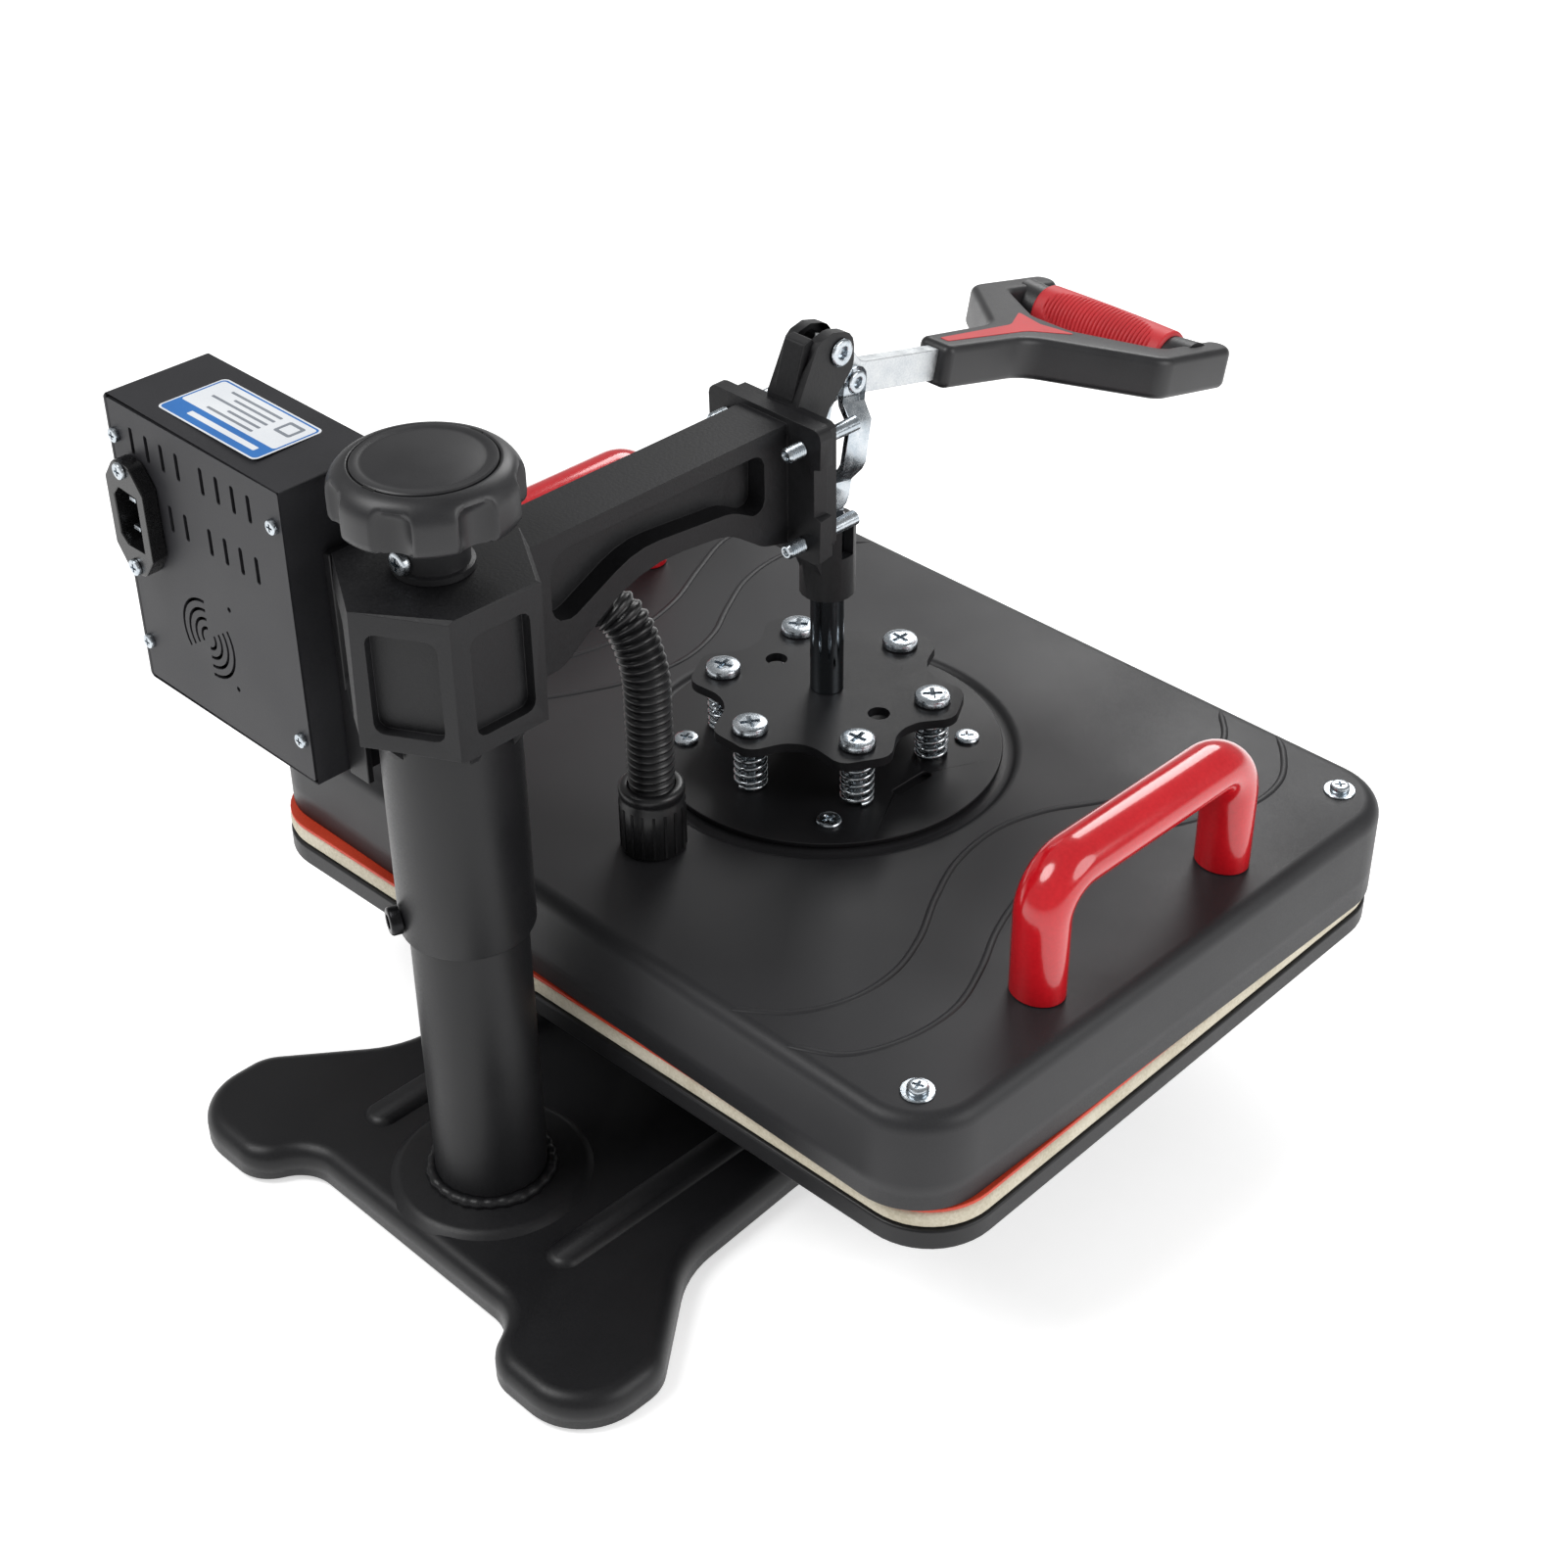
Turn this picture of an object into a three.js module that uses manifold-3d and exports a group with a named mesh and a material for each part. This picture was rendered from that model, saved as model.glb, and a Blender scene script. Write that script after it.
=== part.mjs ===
// Swing-away heat press with a floating heated platen, a toggle lever and a control box.
// Millimetres. +X is the operator's right, -Y faces the operator, +Z is up.
import * as THREE from "three";
import { mergeVertices } from "three/addons/utils/BufferGeometryUtils.js";
import Module from "manifold-3d";

const wasm = await Module();
wasm.setup();

// ---------------------------------------------------------------- driving dimensions
const GAP = 0.3; // between pieces that rest on each other
const FIT = 0.1; // radial running clearance of a pin in its hole
const FINE_ARC = Math.PI / 15; // facet angle of the long curves on the arm

const BASE_HALF_WIDTH = 125;
const BASE_REAR = 258;
const BASE_FRONT = -98;
const BASE_TOP = 17;
const BASE_SKIRT = 3; // height of the skirt's lower edge above the floor
const BASE_SHEET = 2.2;
const BASE_EDGE_R = 7;
const LOBE_R = 27;
const BOSS_R = 39;
const BOSS_H = 2.5;
const BEAD_X = 57;
const FOOT_R = 12;

const POST_Y = 193; // the column's axis stands this far behind the plunger rod
const COLUMN_R = 22.5;
const COLUMN_WALL = 3;
const COLUMN_TOP = 232;
const SLEEVE_WALL = 2.9;
const SLEEVE_BOTTOM = 145;
const SLEEVE_SCREW_UP = 8; // height of the retaining screw above the sleeve's lower edge
const SCREW_R = 8;
const COLLAR_R = 14;

const HEAD_R = 39; // hexagon, centre to corner
const HEAD_BOTTOM = 241;
const HEAD_TOP = 298;
const HEAD_SOCKET_TOP = 262;
const ARM_HALF_WIDTH = 12.5;
const ARM_WEB = 7;
const FLANGE_REAR = 35;
const FLANGE_THICK = 6.5;
const FLANGE_HALF_WIDTH = 30;
const CLAMP_BOLT_X = 20;
const CLAMP_BOLT_Z = [249, 290];
const CLAMP_BOLT_R = 3.2;

const KNOB_R = 33.5;
const KNOB_RIM_BOTTOM = 319;
const KNOB_TOP = 339;
const KNOB_NECK_R = 13;
const KNOB_CAP_R = 25;
const KNOB_GROOVES = 7;

const PIVOT = [2, 314]; // lever pivot, y and z
const CRANK = [-9, 297]; // upper link pin, y and z
const TOGGLE_FOOT = [0, 250]; // lower link pivot, y and z
const PIVOT_R = 4;
const LINK_PIN_R = 3;
const BAR_THICK = 6;
const BAR_HEIGHT = 13;
const LEVER_SLOPE = THREE.MathUtils.degToRad(13);
const CHEEK_THICK = 4.6;
const LINK_THICK = 2.6;
const LINK_WIDTH = 12.5;
const LINK_JOGGLE = 6;
const OPEN_PIVOT_ROOM = 3.2; // under the lower link eye, over the lever's travel

const ROD_R = 7;
const GUIDE_R = 11.5;
const GUIDE_Z = [206, 238];
const SPIDER_Z = [155, 159];
const BOLT_CIRCLE_R = 44.7;
const BOLT_COUNT = 6;
const BOLT_R = 3.4;
const BOLT_HEAD_R = 7.5;
const BOLT_HEAD_H = 3.4;
const SPRING_R = 6.2; // coil centre line
const SPRING_WIRE = 1.0; // wire radius

const PLATEN_Y = 5.5; // platen centre, behind the plunger rod
const COVER_HALF = [195, 147.3];
const COVER_CORNER_R = 30;
const COVER_Z = [87.6, 130];
const COVER_SHEET = 2;
const COVER_EDGE_R = 7;
const HEATER_THICK = 14;
const HEATER_DROP = 0.4; // the plate's face stands proud of the cover's lower edge
const DISC_R = 74;
const DISC_THICK = 2;
const DISC_SCREW_R = 59;

const MAT_THICK = 1.6;
const PAD_THICK = 8;
const LOWER_THICK = 9.6;
const LOWER_HALF = [194.5, 148.5];
const LOWER_YAW = THREE.MathUtils.degToRad(1.6); // the lower platen stands slightly turned

const PULL_X = 168;
const PULL_FEET = 56; // half the distance between a handle's feet
const PULL_HEIGHT = 62;
const PULL_SECTION = [11.5, 10];
const PULL_BEND = 17;

const BAR_END = 86; // distances along the lever from the rod's axis
const STEM_START = 60;
const FRAME_SPREAD = 108;
const FRAME_SHOULDER = 146;
const FRAME_END = 195;
const FRAME_HALF = 54;
const FRAME_THICK = 18;
const FRAME_ARM = 13;
const GRIP_AT = 177;
const GRIP_R = 12;
const GRIP_CORE_R = 8.5;
const GRIP_HALF = 37;

const BOX_X = [38, 145];
const BOX_Y = [181, 226];
const BOX_Z = [203, 325];
const BOX_SHEET = 1.5;
const PANEL_X = [72, 141];
const PANEL_Z = [209, 319];
const PANEL_THICK = 1.6;
const WINDOW = [84, 129, 282, 310];
const BUTTON_X = [88, 106.5, 125];
const BUTTON_Z = 262;
const BUTTON_R = 6;
const ROCKER = [106.5, 230];
const ROCKER_HALF = [10, 6.5];
const ROCKER_TILT = THREE.MathUtils.degToRad(10);
const INLET = [129.5, 281];
const INLET_HALF = [12, 23];
const INLET_BODY = [10, 14];
const SLOT_SIZE = [2.2, 11];
const SLOT_PITCH = 9.4;
const SLOT_ROWS = [[304.5, 0], [280, 2]]; // lower end and number of slots left out

const HOSE_R = 9.5;
const HOSE_ROOM = 0.4;
const GLAND_R = 13.2;
const PLATEN_GLAND_Y = 99;
const BOX_GLAND = [56, 221];

// ---------------------------------------------------------------- finishes
const finish = (color, roughness, metalness) => ({ color, roughness, metalness });
const POWDER = finish(0x1b1b1c, 0.62, 0.1);
const CASTING = finish(0x202021, 0.66, 0.1);
const PLASTIC = finish(0x242426, 0.5, 0);
const RUBBER = finish(0x161616, 0.85, 0);
const ZINC = finish(0xc9ced3, 0.3, 0.9);
const STEEL = finish(0x8f9498, 0.32, 0.9);
const ALUMINIUM = finish(0xb9bcc0, 0.42, 0.85);
const RED_GLOSS = finish(0xd0121b, 0.16, 0);
const RED_GRIP = finish(0xd8353a, 0.62, 0);
const MAT_RED = finish(0xd9491f, 0.7, 0);
const FOAM = finish(0xd9d2c0, 0.92, 0);
const BOARD = finish(0x1d5a35, 0.6, 0);
const WOOL = finish(0xcfcabc, 0.95, 0);
const GLASSY = finish(0x2a3d33, 0.12, 0);

// ---------------------------------------------------------------- geometry helpers
// A closed triangle list with its faces turned out.
function closed(geometry) {
  const g = geometry.index ? geometry.clone() : mergeVertices(stripped(geometry), 1e-4);
  const merged = mergeVertices(stripped(g), 1e-4);
  const p = merged.attributes.position;
  const i = [];
  for (let t = 0; t < merged.index.count; t += 3) {
    const [j, k, l] = merged.index.array.slice(t, t + 3);
    if (j !== k && k !== l && l !== j) i.push(j, k, l);
  }
  const [a, b, c] = [0, 1, 2].map(() => new THREE.Vector3());
  let volume = 0;
  for (let t = 0; t < i.length; t += 3) {
    a.fromBufferAttribute(p, i[t]);
    b.fromBufferAttribute(p, i[t + 1]);
    c.fromBufferAttribute(p, i[t + 2]);
    volume += a.dot(b.cross(c));
  }
  if (volume < 0) {
    for (let t = 0; t < i.length; t += 3) [i[t + 1], i[t + 2]] = [i[t + 2], i[t + 1]];
  }
  merged.setIndex(i);
  return merged;
}

function stripped(geometry) {
  const g = geometry.clone();
  g.deleteAttribute("normal");
  g.deleteAttribute("uv");
  return g;
}

function solid(geometry) {
  const g = closed(geometry);
  const triVerts = new Uint32Array(g.index.array);
  const vertProperties = new Float32Array(g.attributes.position.array);
  return new wasm.Manifold(new wasm.Mesh({ numProp: 3, vertProperties, triVerts }));
}

function geometryOf(manifold) {
  const out = manifold.getMesh();
  const g = new THREE.BufferGeometry();
  g.setAttribute("position", new THREE.BufferAttribute(new Float32Array(out.vertProperties), 3));
  g.setIndex(new THREE.BufferAttribute(new Uint32Array(out.triVerts), 1));
  return g;
}

const cut = (from, ...tools) => geometryOf(tools.reduce((s, t) => s.subtract(solid(t)), solid(from)));
const join = (...pieces) => geometryOf(pieces.slice(1).reduce((s, t) => s.add(solid(t)), solid(pieces[0])));
const common = (a, b) => geometryOf(solid(a).intersect(solid(b)));

function box(x0, x1, y0, y1, z0, z1) {
  const g = new THREE.BoxGeometry(x1 - x0, y1 - y0, z1 - z0);
  return g.translate((x0 + x1) / 2, (y0 + y1) / 2, (z0 + z1) / 2);
}

// A round bar of radius r from point a to point b.
function bar(r, a, b, segments = 18) {
  const from = new THREE.Vector3(...a);
  const to = new THREE.Vector3(...b);
  const along = to.clone().sub(from);
  const g = new THREE.CylinderGeometry(r, r, along.length(), segments);
  const up = new THREE.Vector3(0, 1, 0);
  const turn = new THREE.Quaternion().setFromUnitVectors(up, along.clone().normalize());
  return g.applyQuaternion(turn).translate(...from.lerp(to, 0.5).toArray());
}

// A solid of revolution about +Z from points [radius, height], moved to x, y.
function turned(profile, x = 0, y = 0, segments = 24) {
  const points = profile.map(([r, z]) => new THREE.Vector2(r, z));
  return new THREE.LatheGeometry(points, segments).rotateX(Math.PI / 2).translate(x, y, 0);
}

// A closed ring or tube profile: the last point meets the first.
const tube = (rIn, rOut, z0, z1) => [[rIn, z0], [rOut, z0], [rOut, z1], [rIn, z1], [rIn, z0]];

// The outline through points [x, y, radius], with each corner rounded to its radius.
function rounded(points, step = Math.PI / 6) {
  const out = [];
  points.forEach(([x, y, r = 0], k) => {
    const at = new THREE.Vector2(x, y);
    const before = new THREE.Vector2(...points[(k + points.length - 1) % points.length]);
    const after = new THREE.Vector2(...points[(k + 1) % points.length]);
    const u = before.sub(at).normalize();
    const v = after.sub(at).normalize();
    const angle = Math.acos(THREE.MathUtils.clamp(u.dot(v), -1, 1));
    if (r < 1e-6 || angle > Math.PI - 1e-3) {
      out.push(at);
      return;
    }
    const reach = r / Math.tan(angle / 2);
    const centre = u.clone().add(v).normalize().multiplyScalar(r / Math.sin(angle / 2)).add(at);
    const start = u.clone().multiplyScalar(reach).add(at).sub(centre);
    const end = v.clone().multiplyScalar(reach).add(at).sub(centre);
    const sweep = Math.atan2(start.cross(end), start.dot(end));
    const n = Math.max(1, Math.ceil(Math.abs(sweep) / (r < 3 ? Math.PI / 4 : step) - 0.01));
    for (let s = 0; s <= n; s++) {
      out.push(start.clone().rotateAround(new THREE.Vector2(), (sweep * s) / n).add(centre));
    }
  });
  return out;
}

const rectangle = (x0, x1, y0, y1, r) => rounded([[x0, y0, r], [x1, y0, r], [x1, y1, r], [x0, y1, r]]);
const centred = (hx, hy, r, y = 0) => rectangle(-hx, hx, y - hy, y + hy, r);

function circle(x, y, r, segments = 14) {
  return Array.from({ length: segments }, (_, k) => {
    const a = (2 * Math.PI * k) / segments;
    return new THREE.Vector2(x + r * Math.cos(a), y + r * Math.sin(a));
  });
}

function extruded(outline, depth, holes = []) {
  const shape = new THREE.Shape(outline);
  shape.holes = holes.map((h) => new THREE.Path(h));
  return new THREE.ExtrudeGeometry(shape, { depth, bevelEnabled: false });
}

// Outlines in x, y raised from z0 to z1; in y, z spread from x0 to x1; in x, z spread from y0 to y1.
const upright = (outline, z0, z1, holes) => extruded(outline, z1 - z0, holes).translate(0, 0, z0);

function acrossX(outline, x0, x1, holes) {
  const basis = new THREE.Matrix4().makeBasis(
    new THREE.Vector3(0, 1, 0),
    new THREE.Vector3(0, 0, 1),
    new THREE.Vector3(1, 0, 0),
  );
  return extruded(outline, x1 - x0, holes).applyMatrix4(basis).translate(x0, 0, 0);
}

function acrossY(outline, y0, y1, holes) {
  return extruded(outline, y1 - y0, holes).rotateX(Math.PI / 2).translate(0, y1, 0);
}

// The outline moved inwards by d at every corner.
function inset(outline, d) {
  return outline.map((p, k) => {
    const u = p.clone().sub(outline[(k + outline.length - 1) % outline.length]).normalize();
    const v = outline[(k + 1) % outline.length].clone().sub(p).normalize();
    const n = new THREE.Vector2(-u.y - v.y, u.x + v.x).normalize();
    return p.clone().addScaledVector(n, d / Math.max(0.5, n.dot(new THREE.Vector2(-u.y, u.x))));
  });
}

// A closed skin through rings of equal point count, capped at both ends.
function loft(rings) {
  const count = rings[0].length;
  const positions = rings.flat().flatMap((p) => [p.x, p.y, p.z]);
  const index = [];
  for (let r = 0; r + 1 < rings.length; r++) {
    for (let k = 0; k < count; k++) {
      const a = r * count + k;
      const b = r * count + ((k + 1) % count);
      index.push(a, b, b + count, a, b + count, a + count);
    }
  }
  const cap = (ring, start, flip) => {
    const flat = flattened(ring);
    for (const [a, b, c] of THREE.ShapeUtils.triangulateShape(flat, [])) {
      index.push(...(flip ? [start + a, start + c, start + b] : [start + a, start + b, start + c]));
    }
  };
  const first = flattened(rings[0]);
  const clockwise = THREE.ShapeUtils.isClockWise(first);
  cap(rings[0], 0, !clockwise);
  cap(rings[rings.length - 1], (rings.length - 1) * count, clockwise);
  const g = new THREE.BufferGeometry();
  g.setAttribute("position", new THREE.Float32BufferAttribute(positions, 3));
  g.setIndex(index);
  return g;
}

// A ring's points as seen along the axis that keeps most of its area.
function flattened(ring) {
  const n = new THREE.Vector3();
  ring.forEach((p, k) => n.add(p.clone().cross(ring[(k + 1) % ring.length])));
  n.normalize();
  const side = Math.abs(n.z) < 0.9 ? new THREE.Vector3(0, 0, 1) : new THREE.Vector3(1, 0, 0);
  const u = side.cross(n).normalize();
  const v = n.clone().cross(u);
  const flat = ring.map((p) => new THREE.Vector2(p.dot(u), p.dot(v)));
  return flat;
}

const level = (outline, z) => outline.map((p) => new THREE.Vector3(p.x, p.y, z));

// Inset and height pairs round a convex upper edge of radius r that ends at height top.
function edge(insetBy, r, top, steps = 2) {
  return Array.from({ length: steps + 1 }, (_, k) => {
    const a = ((Math.PI / 2) * k) / steps;
    return [insetBy + r * (1 - Math.cos(a)), top - r + r * Math.sin(a)];
  });
}

// An inverted tray of sheet: skirt from z0, flat top at z1, rounded upper edge.
function tray(outline, z0, z1, sheet, edgeR) {
  const outer = [[0, z0], ...edge(0, edgeR, z1)];
  const inner = [[sheet, z0], ...edge(sheet, edgeR - sheet, z1 - sheet)];
  return loft([...inner.reverse(), ...outer].map(([d, z]) => level(inset(outline, d), z)));
}

// A flat slab with small bevels on both edges.
function slab(outline, z0, z1, bevel) {
  const steps = [[bevel, z0], [0, z0 + bevel], [0, z1 - bevel], [bevel, z1]];
  return loft(steps.map(([d, z]) => level(inset(outline, d), z)));
}

// A section [u, v] carried along a path of points, u along the fixed vector side.
function swept(section, path, side) {
  const rings = path.map((p, k) => {
    const along = path[Math.min(k + 1, path.length - 1)].clone().sub(path[Math.max(k - 1, 0)]).normalize();
    const v = along.clone().cross(side).normalize();
    const u = v.clone().cross(along).normalize();
    return section.map(([a, b]) => p.clone().addScaledVector(u, a).addScaledVector(v, b));
  });
  return loft(rings);
}

const oval = (a, b, n) =>
  Array.from({ length: n }, (_, k) => {
    const t = (2 * Math.PI * k) / n;
    return [a * Math.cos(t), b * Math.sin(t)];
  });

const root = new THREE.Group();
root.name = "heat_press";

function add(name, geometry, look) {
  const g = closed(geometry).toNonIndexed();
  g.computeVertexNormals();
  const mesh = new THREE.Mesh(g, new THREE.MeshStandardMaterial(look));
  mesh.name = name;
  root.add(mesh);
}

// ---------------------------------------------------------------- base, column and lower platen
function baseOutline() {
  const w = BASE_HALF_WIDTH;
  const waist = (BASE_REAR + BASE_FRONT) / 2;
  const reach = BASE_REAR - waist;
  const quarter = [
    [w - 42, 0, 400], [w - 36, 90, 45], [w, 136, 20],
    [w, reach, LOBE_R], [74, reach, 18], [63, reach - 21, 18],
  ];
  const right = quarter.map(([x, y, r]) => [x, y, r]);
  const left = [...quarter].reverse().map(([x, y, r]) => [-x, y, r]);
  const frontLeft = quarter.slice(1).map(([x, y, r]) => [-x, -y, r]);
  const frontRight = [...quarter.slice(1)].reverse().map(([x, y, r]) => [x, -y, r]);
  const points = [...right, ...left, ...frontLeft, ...frontRight];
  return rounded(points.map(([x, y, r]) => [x, y + waist, r]), Math.PI / 6);
}

function basePlate() {
  const pan = tray(baseOutline(), BASE_SKIRT, BASE_TOP, BASE_SHEET, BASE_EDGE_R);
  const low = BASE_TOP - BASE_SHEET / 2;
  const high = BASE_TOP + BOSS_H;
  const ring = [[0, low], [BOSS_R + 1, low], [BOSS_R, BASE_TOP + 0.6], [BOSS_R - 3, high], [0, high]];
  const boss = turned(ring, 0, POST_Y);
  const beads = [-BEAD_X, BEAD_X].map((x) => {
    const outline = rectangle(x - 8, x + 8, 74, 212, 6.5);
    return loft([level(outline, low), level(outline, BASE_TOP + 0.6), level(inset(outline, 3), high)]);
  });
  add("base_plate", join(pan, boss, ...beads), POWDER);
}

function feet() {
  const x = BASE_HALF_WIDTH - LOBE_R + 3;
  const ys = [BASE_REAR - LOBE_R + 3, BASE_FRONT + LOBE_R - 3];
  const top = BASE_TOP - BASE_SHEET - GAP;
  let n = 1;
  for (const y of ys) {
    for (const sx of [-1, 1]) {
      const profile = [[0, 0], [FOOT_R - 1.5, 0], [FOOT_R, 2], [FOOT_R - 1, top], [0, top]];
      add(`foot_${n++}`, turned(profile, sx * x, y, 16), RUBBER);
    }
  }
}

function column() {
  const foot = BASE_TOP + BOSS_H + GAP;
  const inner = COLUMN_R - COLUMN_WALL;
  const profile = [
    [inner, foot], [COLUMN_R + 4.5, foot], [COLUMN_R + 3.6, foot + 2.4], [COLUMN_R + 0.8, foot + 4.6],
    [COLUMN_R, foot + 5.2], [COLUMN_R, COLUMN_TOP], [inner, COLUMN_TOP], [inner, foot],
  ];
  add("column", turned(profile, 0, POST_Y, 24), POWDER);
}

function columnNut() {
  const plug = COLUMN_R - COLUMN_WALL - GAP;
  const bore = SCREW_R + GAP;
  const base = COLUMN_TOP + GAP;
  const profile = [
    [bore, COLUMN_TOP - 22], [plug, COLUMN_TOP - 22], [plug, base], [COLUMN_R - 0.2, base],
    [COLUMN_R - 0.2, base + 4], [bore, base + 4], [bore, COLUMN_TOP - 22],
  ];
  add("column_nut", turned(profile, 0, POST_Y, 24), STEEL);
}

const heaterFace = COVER_Z[0] - HEATER_DROP;
const matTop = heaterFace - GAP;
const padTop = matTop - MAT_THICK - GAP;
const lowerTop = padTop - PAD_THICK - GAP;
const lowerBottom = lowerTop - LOWER_THICK;

const yawed = (g) => g.translate(0, -PLATEN_Y, 0).rotateZ(LOWER_YAW).translate(0, PLATEN_Y, 0);

function platenStand() {
  const z0 = BASE_TOP + GAP;
  const z1 = lowerBottom - GAP;
  const t = 3;
  const half = 45;
  const hat = [
    [-half - 17, z0, 0], [-half + t, z0, 0], [-half + t, z1 - t, 3], [half - t, z1 - t, 3], [half - t, z0, 0],
    [half + 17, z0, 0], [half + 17, z0 + t, 0], [half, z0 + t, 3], [half, z1, 5], [-half, z1, 5],
    [-half, z0 + t, 3], [-half - 17, z0 + t, 0],
  ];
  add("platen_stand", acrossY(rounded(hat), -52, 62), POWDER);
}

function lowerStack() {
  const [hx, hy] = LOWER_HALF;
  const plate = slab(centred(hx, hy, COVER_CORNER_R, PLATEN_Y), lowerBottom, lowerTop, 1.5);
  add("lower_platen", yawed(plate), POWDER);
  const pad = slab(centred(hx - 1, hy - 0.6, COVER_CORNER_R - 1, PLATEN_Y), padTop - PAD_THICK, padTop, 0.8);
  add("foam_pad", yawed(pad), FOAM);
  const mat = slab(centred(hx - 1, hy - 0.6, COVER_CORNER_R - 1, PLATEN_Y), matTop - MAT_THICK, matTop, 0.4);
  add("silicone_mat", yawed(mat), MAT_RED);
}

// ---------------------------------------------------------------- pressure adjustment on the post
const collarZ = [HEAD_SOCKET_TOP + 2, HEAD_SOCKET_TOP + 10];
const ringTop = HEAD_SOCKET_TOP + 14;

function thrustRing() {
  const profile = tube(SCREW_R + GAP, COLLAR_R + 2, collarZ[1] + GAP, ringTop - GAP);
  add("thrust_ring", turned(profile, 0, POST_Y, 20), STEEL);
}

function pressureScrew() {
  const profile = [
    [0, 150], [SCREW_R - 1.5, 150], [SCREW_R, 151.5], [SCREW_R, collarZ[0]], [COLLAR_R, collarZ[0]],
    [COLLAR_R, collarZ[1]], [SCREW_R, collarZ[1]], [SCREW_R, KNOB_TOP - 15], [0, KNOB_TOP - 15],
  ];
  add("pressure_screw", turned(profile, 0, POST_Y, 20), STEEL);
}

function pressureKnob() {
  const low = HEAD_TOP + GAP;
  const bore = SCREW_R + GAP;
  const boreTop = KNOB_TOP - 15 + GAP;
  const recess = KNOB_CAP_R + GAP;
  const body = [
    [0, boreTop], [bore, boreTop], [bore, low], [KNOB_NECK_R + 1.5, low], [KNOB_NECK_R + 1.5, low + 2.4],
    [KNOB_NECK_R, low + 2.8], [KNOB_NECK_R, KNOB_RIM_BOTTOM + 1], [KNOB_R - 7, KNOB_RIM_BOTTOM],
    [KNOB_R - 1.2, KNOB_RIM_BOTTOM + 1.2], [KNOB_R, KNOB_RIM_BOTTOM + 4], [KNOB_R, KNOB_TOP - 7],
    [KNOB_R - 1.6, KNOB_TOP - 3.2], [KNOB_R - 5.2, KNOB_TOP - 0.6], [KNOB_R - 7, KNOB_TOP],
    [recess, KNOB_TOP], [recess, KNOB_TOP - 2.4], [0, KNOB_TOP - 2.4],
  ];
  const grooves = Array.from({ length: KNOB_GROOVES }, (_, k) => {
    const a = (2 * Math.PI * (k + 0.35)) / KNOB_GROOVES;
    const x = (KNOB_R + 4.6) * Math.cos(a);
    const y = POST_Y + (KNOB_R + 4.6) * Math.sin(a);
    return bar(8, [x, y, KNOB_RIM_BOTTOM - 5], [x, y, KNOB_TOP - 4.5], 10);
  });
  add("pressure_knob", cut(turned(body, 0, POST_Y, 24), ...grooves), PLASTIC);
}

function knobCap() {
  const low = KNOB_TOP - 2.4 + GAP;
  const profile = [
    [0, low], [KNOB_CAP_R, low], [KNOB_CAP_R, KNOB_TOP],
    [KNOB_CAP_R - 1, KNOB_TOP + 0.6], [0, KNOB_TOP + 0.9],
  ];
  add("knob_cap", turned(profile, 0, POST_Y, 24), PLASTIC);
}

// ---------------------------------------------------------------- arm
function hexagon(r) {
  return Array.from({ length: 6 }, (_, k) => {
    const a = (Math.PI / 3) * k + Math.PI / 6;
    return [r * Math.cos(a), POST_Y + r * Math.sin(a), 2.5];
  });
}

function headSolids() {
  const prism = slab(rounded(hexagon(HEAD_R)), HEAD_BOTTOM, HEAD_TOP, 1.2);
  const gussets = [20, 100, 160, 200, 340].map((deg) => {
    const wedge = [
      [24, HEAD_BOTTOM + 2], [33, HEAD_BOTTOM + 2], [33, HEAD_BOTTOM], [27.5, HEAD_BOTTOM - 8],
      [26.2, HEAD_BOTTOM - 8], [26.2, HEAD_BOTTOM],
    ];
    const g = acrossY(wedge.map(([x, y]) => new THREE.Vector2(x, y)), -1.8, 1.8);
    return g.rotateZ(THREE.MathUtils.degToRad(deg)).translate(0, POST_Y, 0);
  });
  return [prism, ...gussets];
}

// Recesses in five of the head's faces; the sixth carries the arm.
function headPockets() {
  const flat = (HEAD_R * Math.sqrt(3)) / 2;
  return [-1, 0, 1, 2, 3].map((k) => {
    const window = rectangle(-13, 13, HEAD_BOTTOM + 8, HEAD_TOP - 9, 4);
    const g = acrossY(window, -flat - 2, -flat + 4.5);
    return g.rotateZ((Math.PI / 3) * (k + 0.5) + Math.PI / 3).translate(0, POST_Y, 0);
  });
}

function armProfile() {
  const y0 = FLANGE_REAR - 2;
  return rounded([
    [POST_Y - 24, HEAD_TOP - GAP, 0], [y0, HEAD_TOP - GAP, 0], [y0, 246, 0], [48, 250, 14],
    [66, 263, 26], [112, 268, 60], [150, 242, 14], [POST_Y - 24, 242, 0],
  ], FINE_ARC);
}

function armPocket(x0, x1) {
  const outline = rounded([
    [153, HEAD_TOP - 8, 9], [47, HEAD_TOP - 8, 6], [47, 262, 5],
    [64, 271.5, 18], [112, 276, 40], [153, 256, 8],
  ], FINE_ARC);
  return acrossX(outline, x0, x1);
}

function flangeOutline() {
  const w = FLANGE_HALF_WIDTH;
  const z0 = 242.5;
  const z1 = 300;
  const n = [263, 284];
  return rounded([
    [-w, z0, 3], [w, z0, 3], [w, n[0], 0.8], [w - 3.5, n[0], 0.8], [w - 3.5, n[1], 0.8], [w, n[1], 0.8],
    [w, z1, 4], [-w, z1, 4], [-w, n[1], 0.8], [-w + 3.5, n[1], 0.8], [-w + 3.5, n[0], 0.8], [-w, n[0], 0.8],
  ]);
}

function clampHoles(y0, y1) {
  return CLAMP_BOLT_Z.flatMap((z) =>
    [-1, 1].map((s) => bar(CLAMP_BOLT_R, [s * CLAMP_BOLT_X, y0, z], [s * CLAMP_BOLT_X, y1, z], 10)),
  );
}

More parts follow.
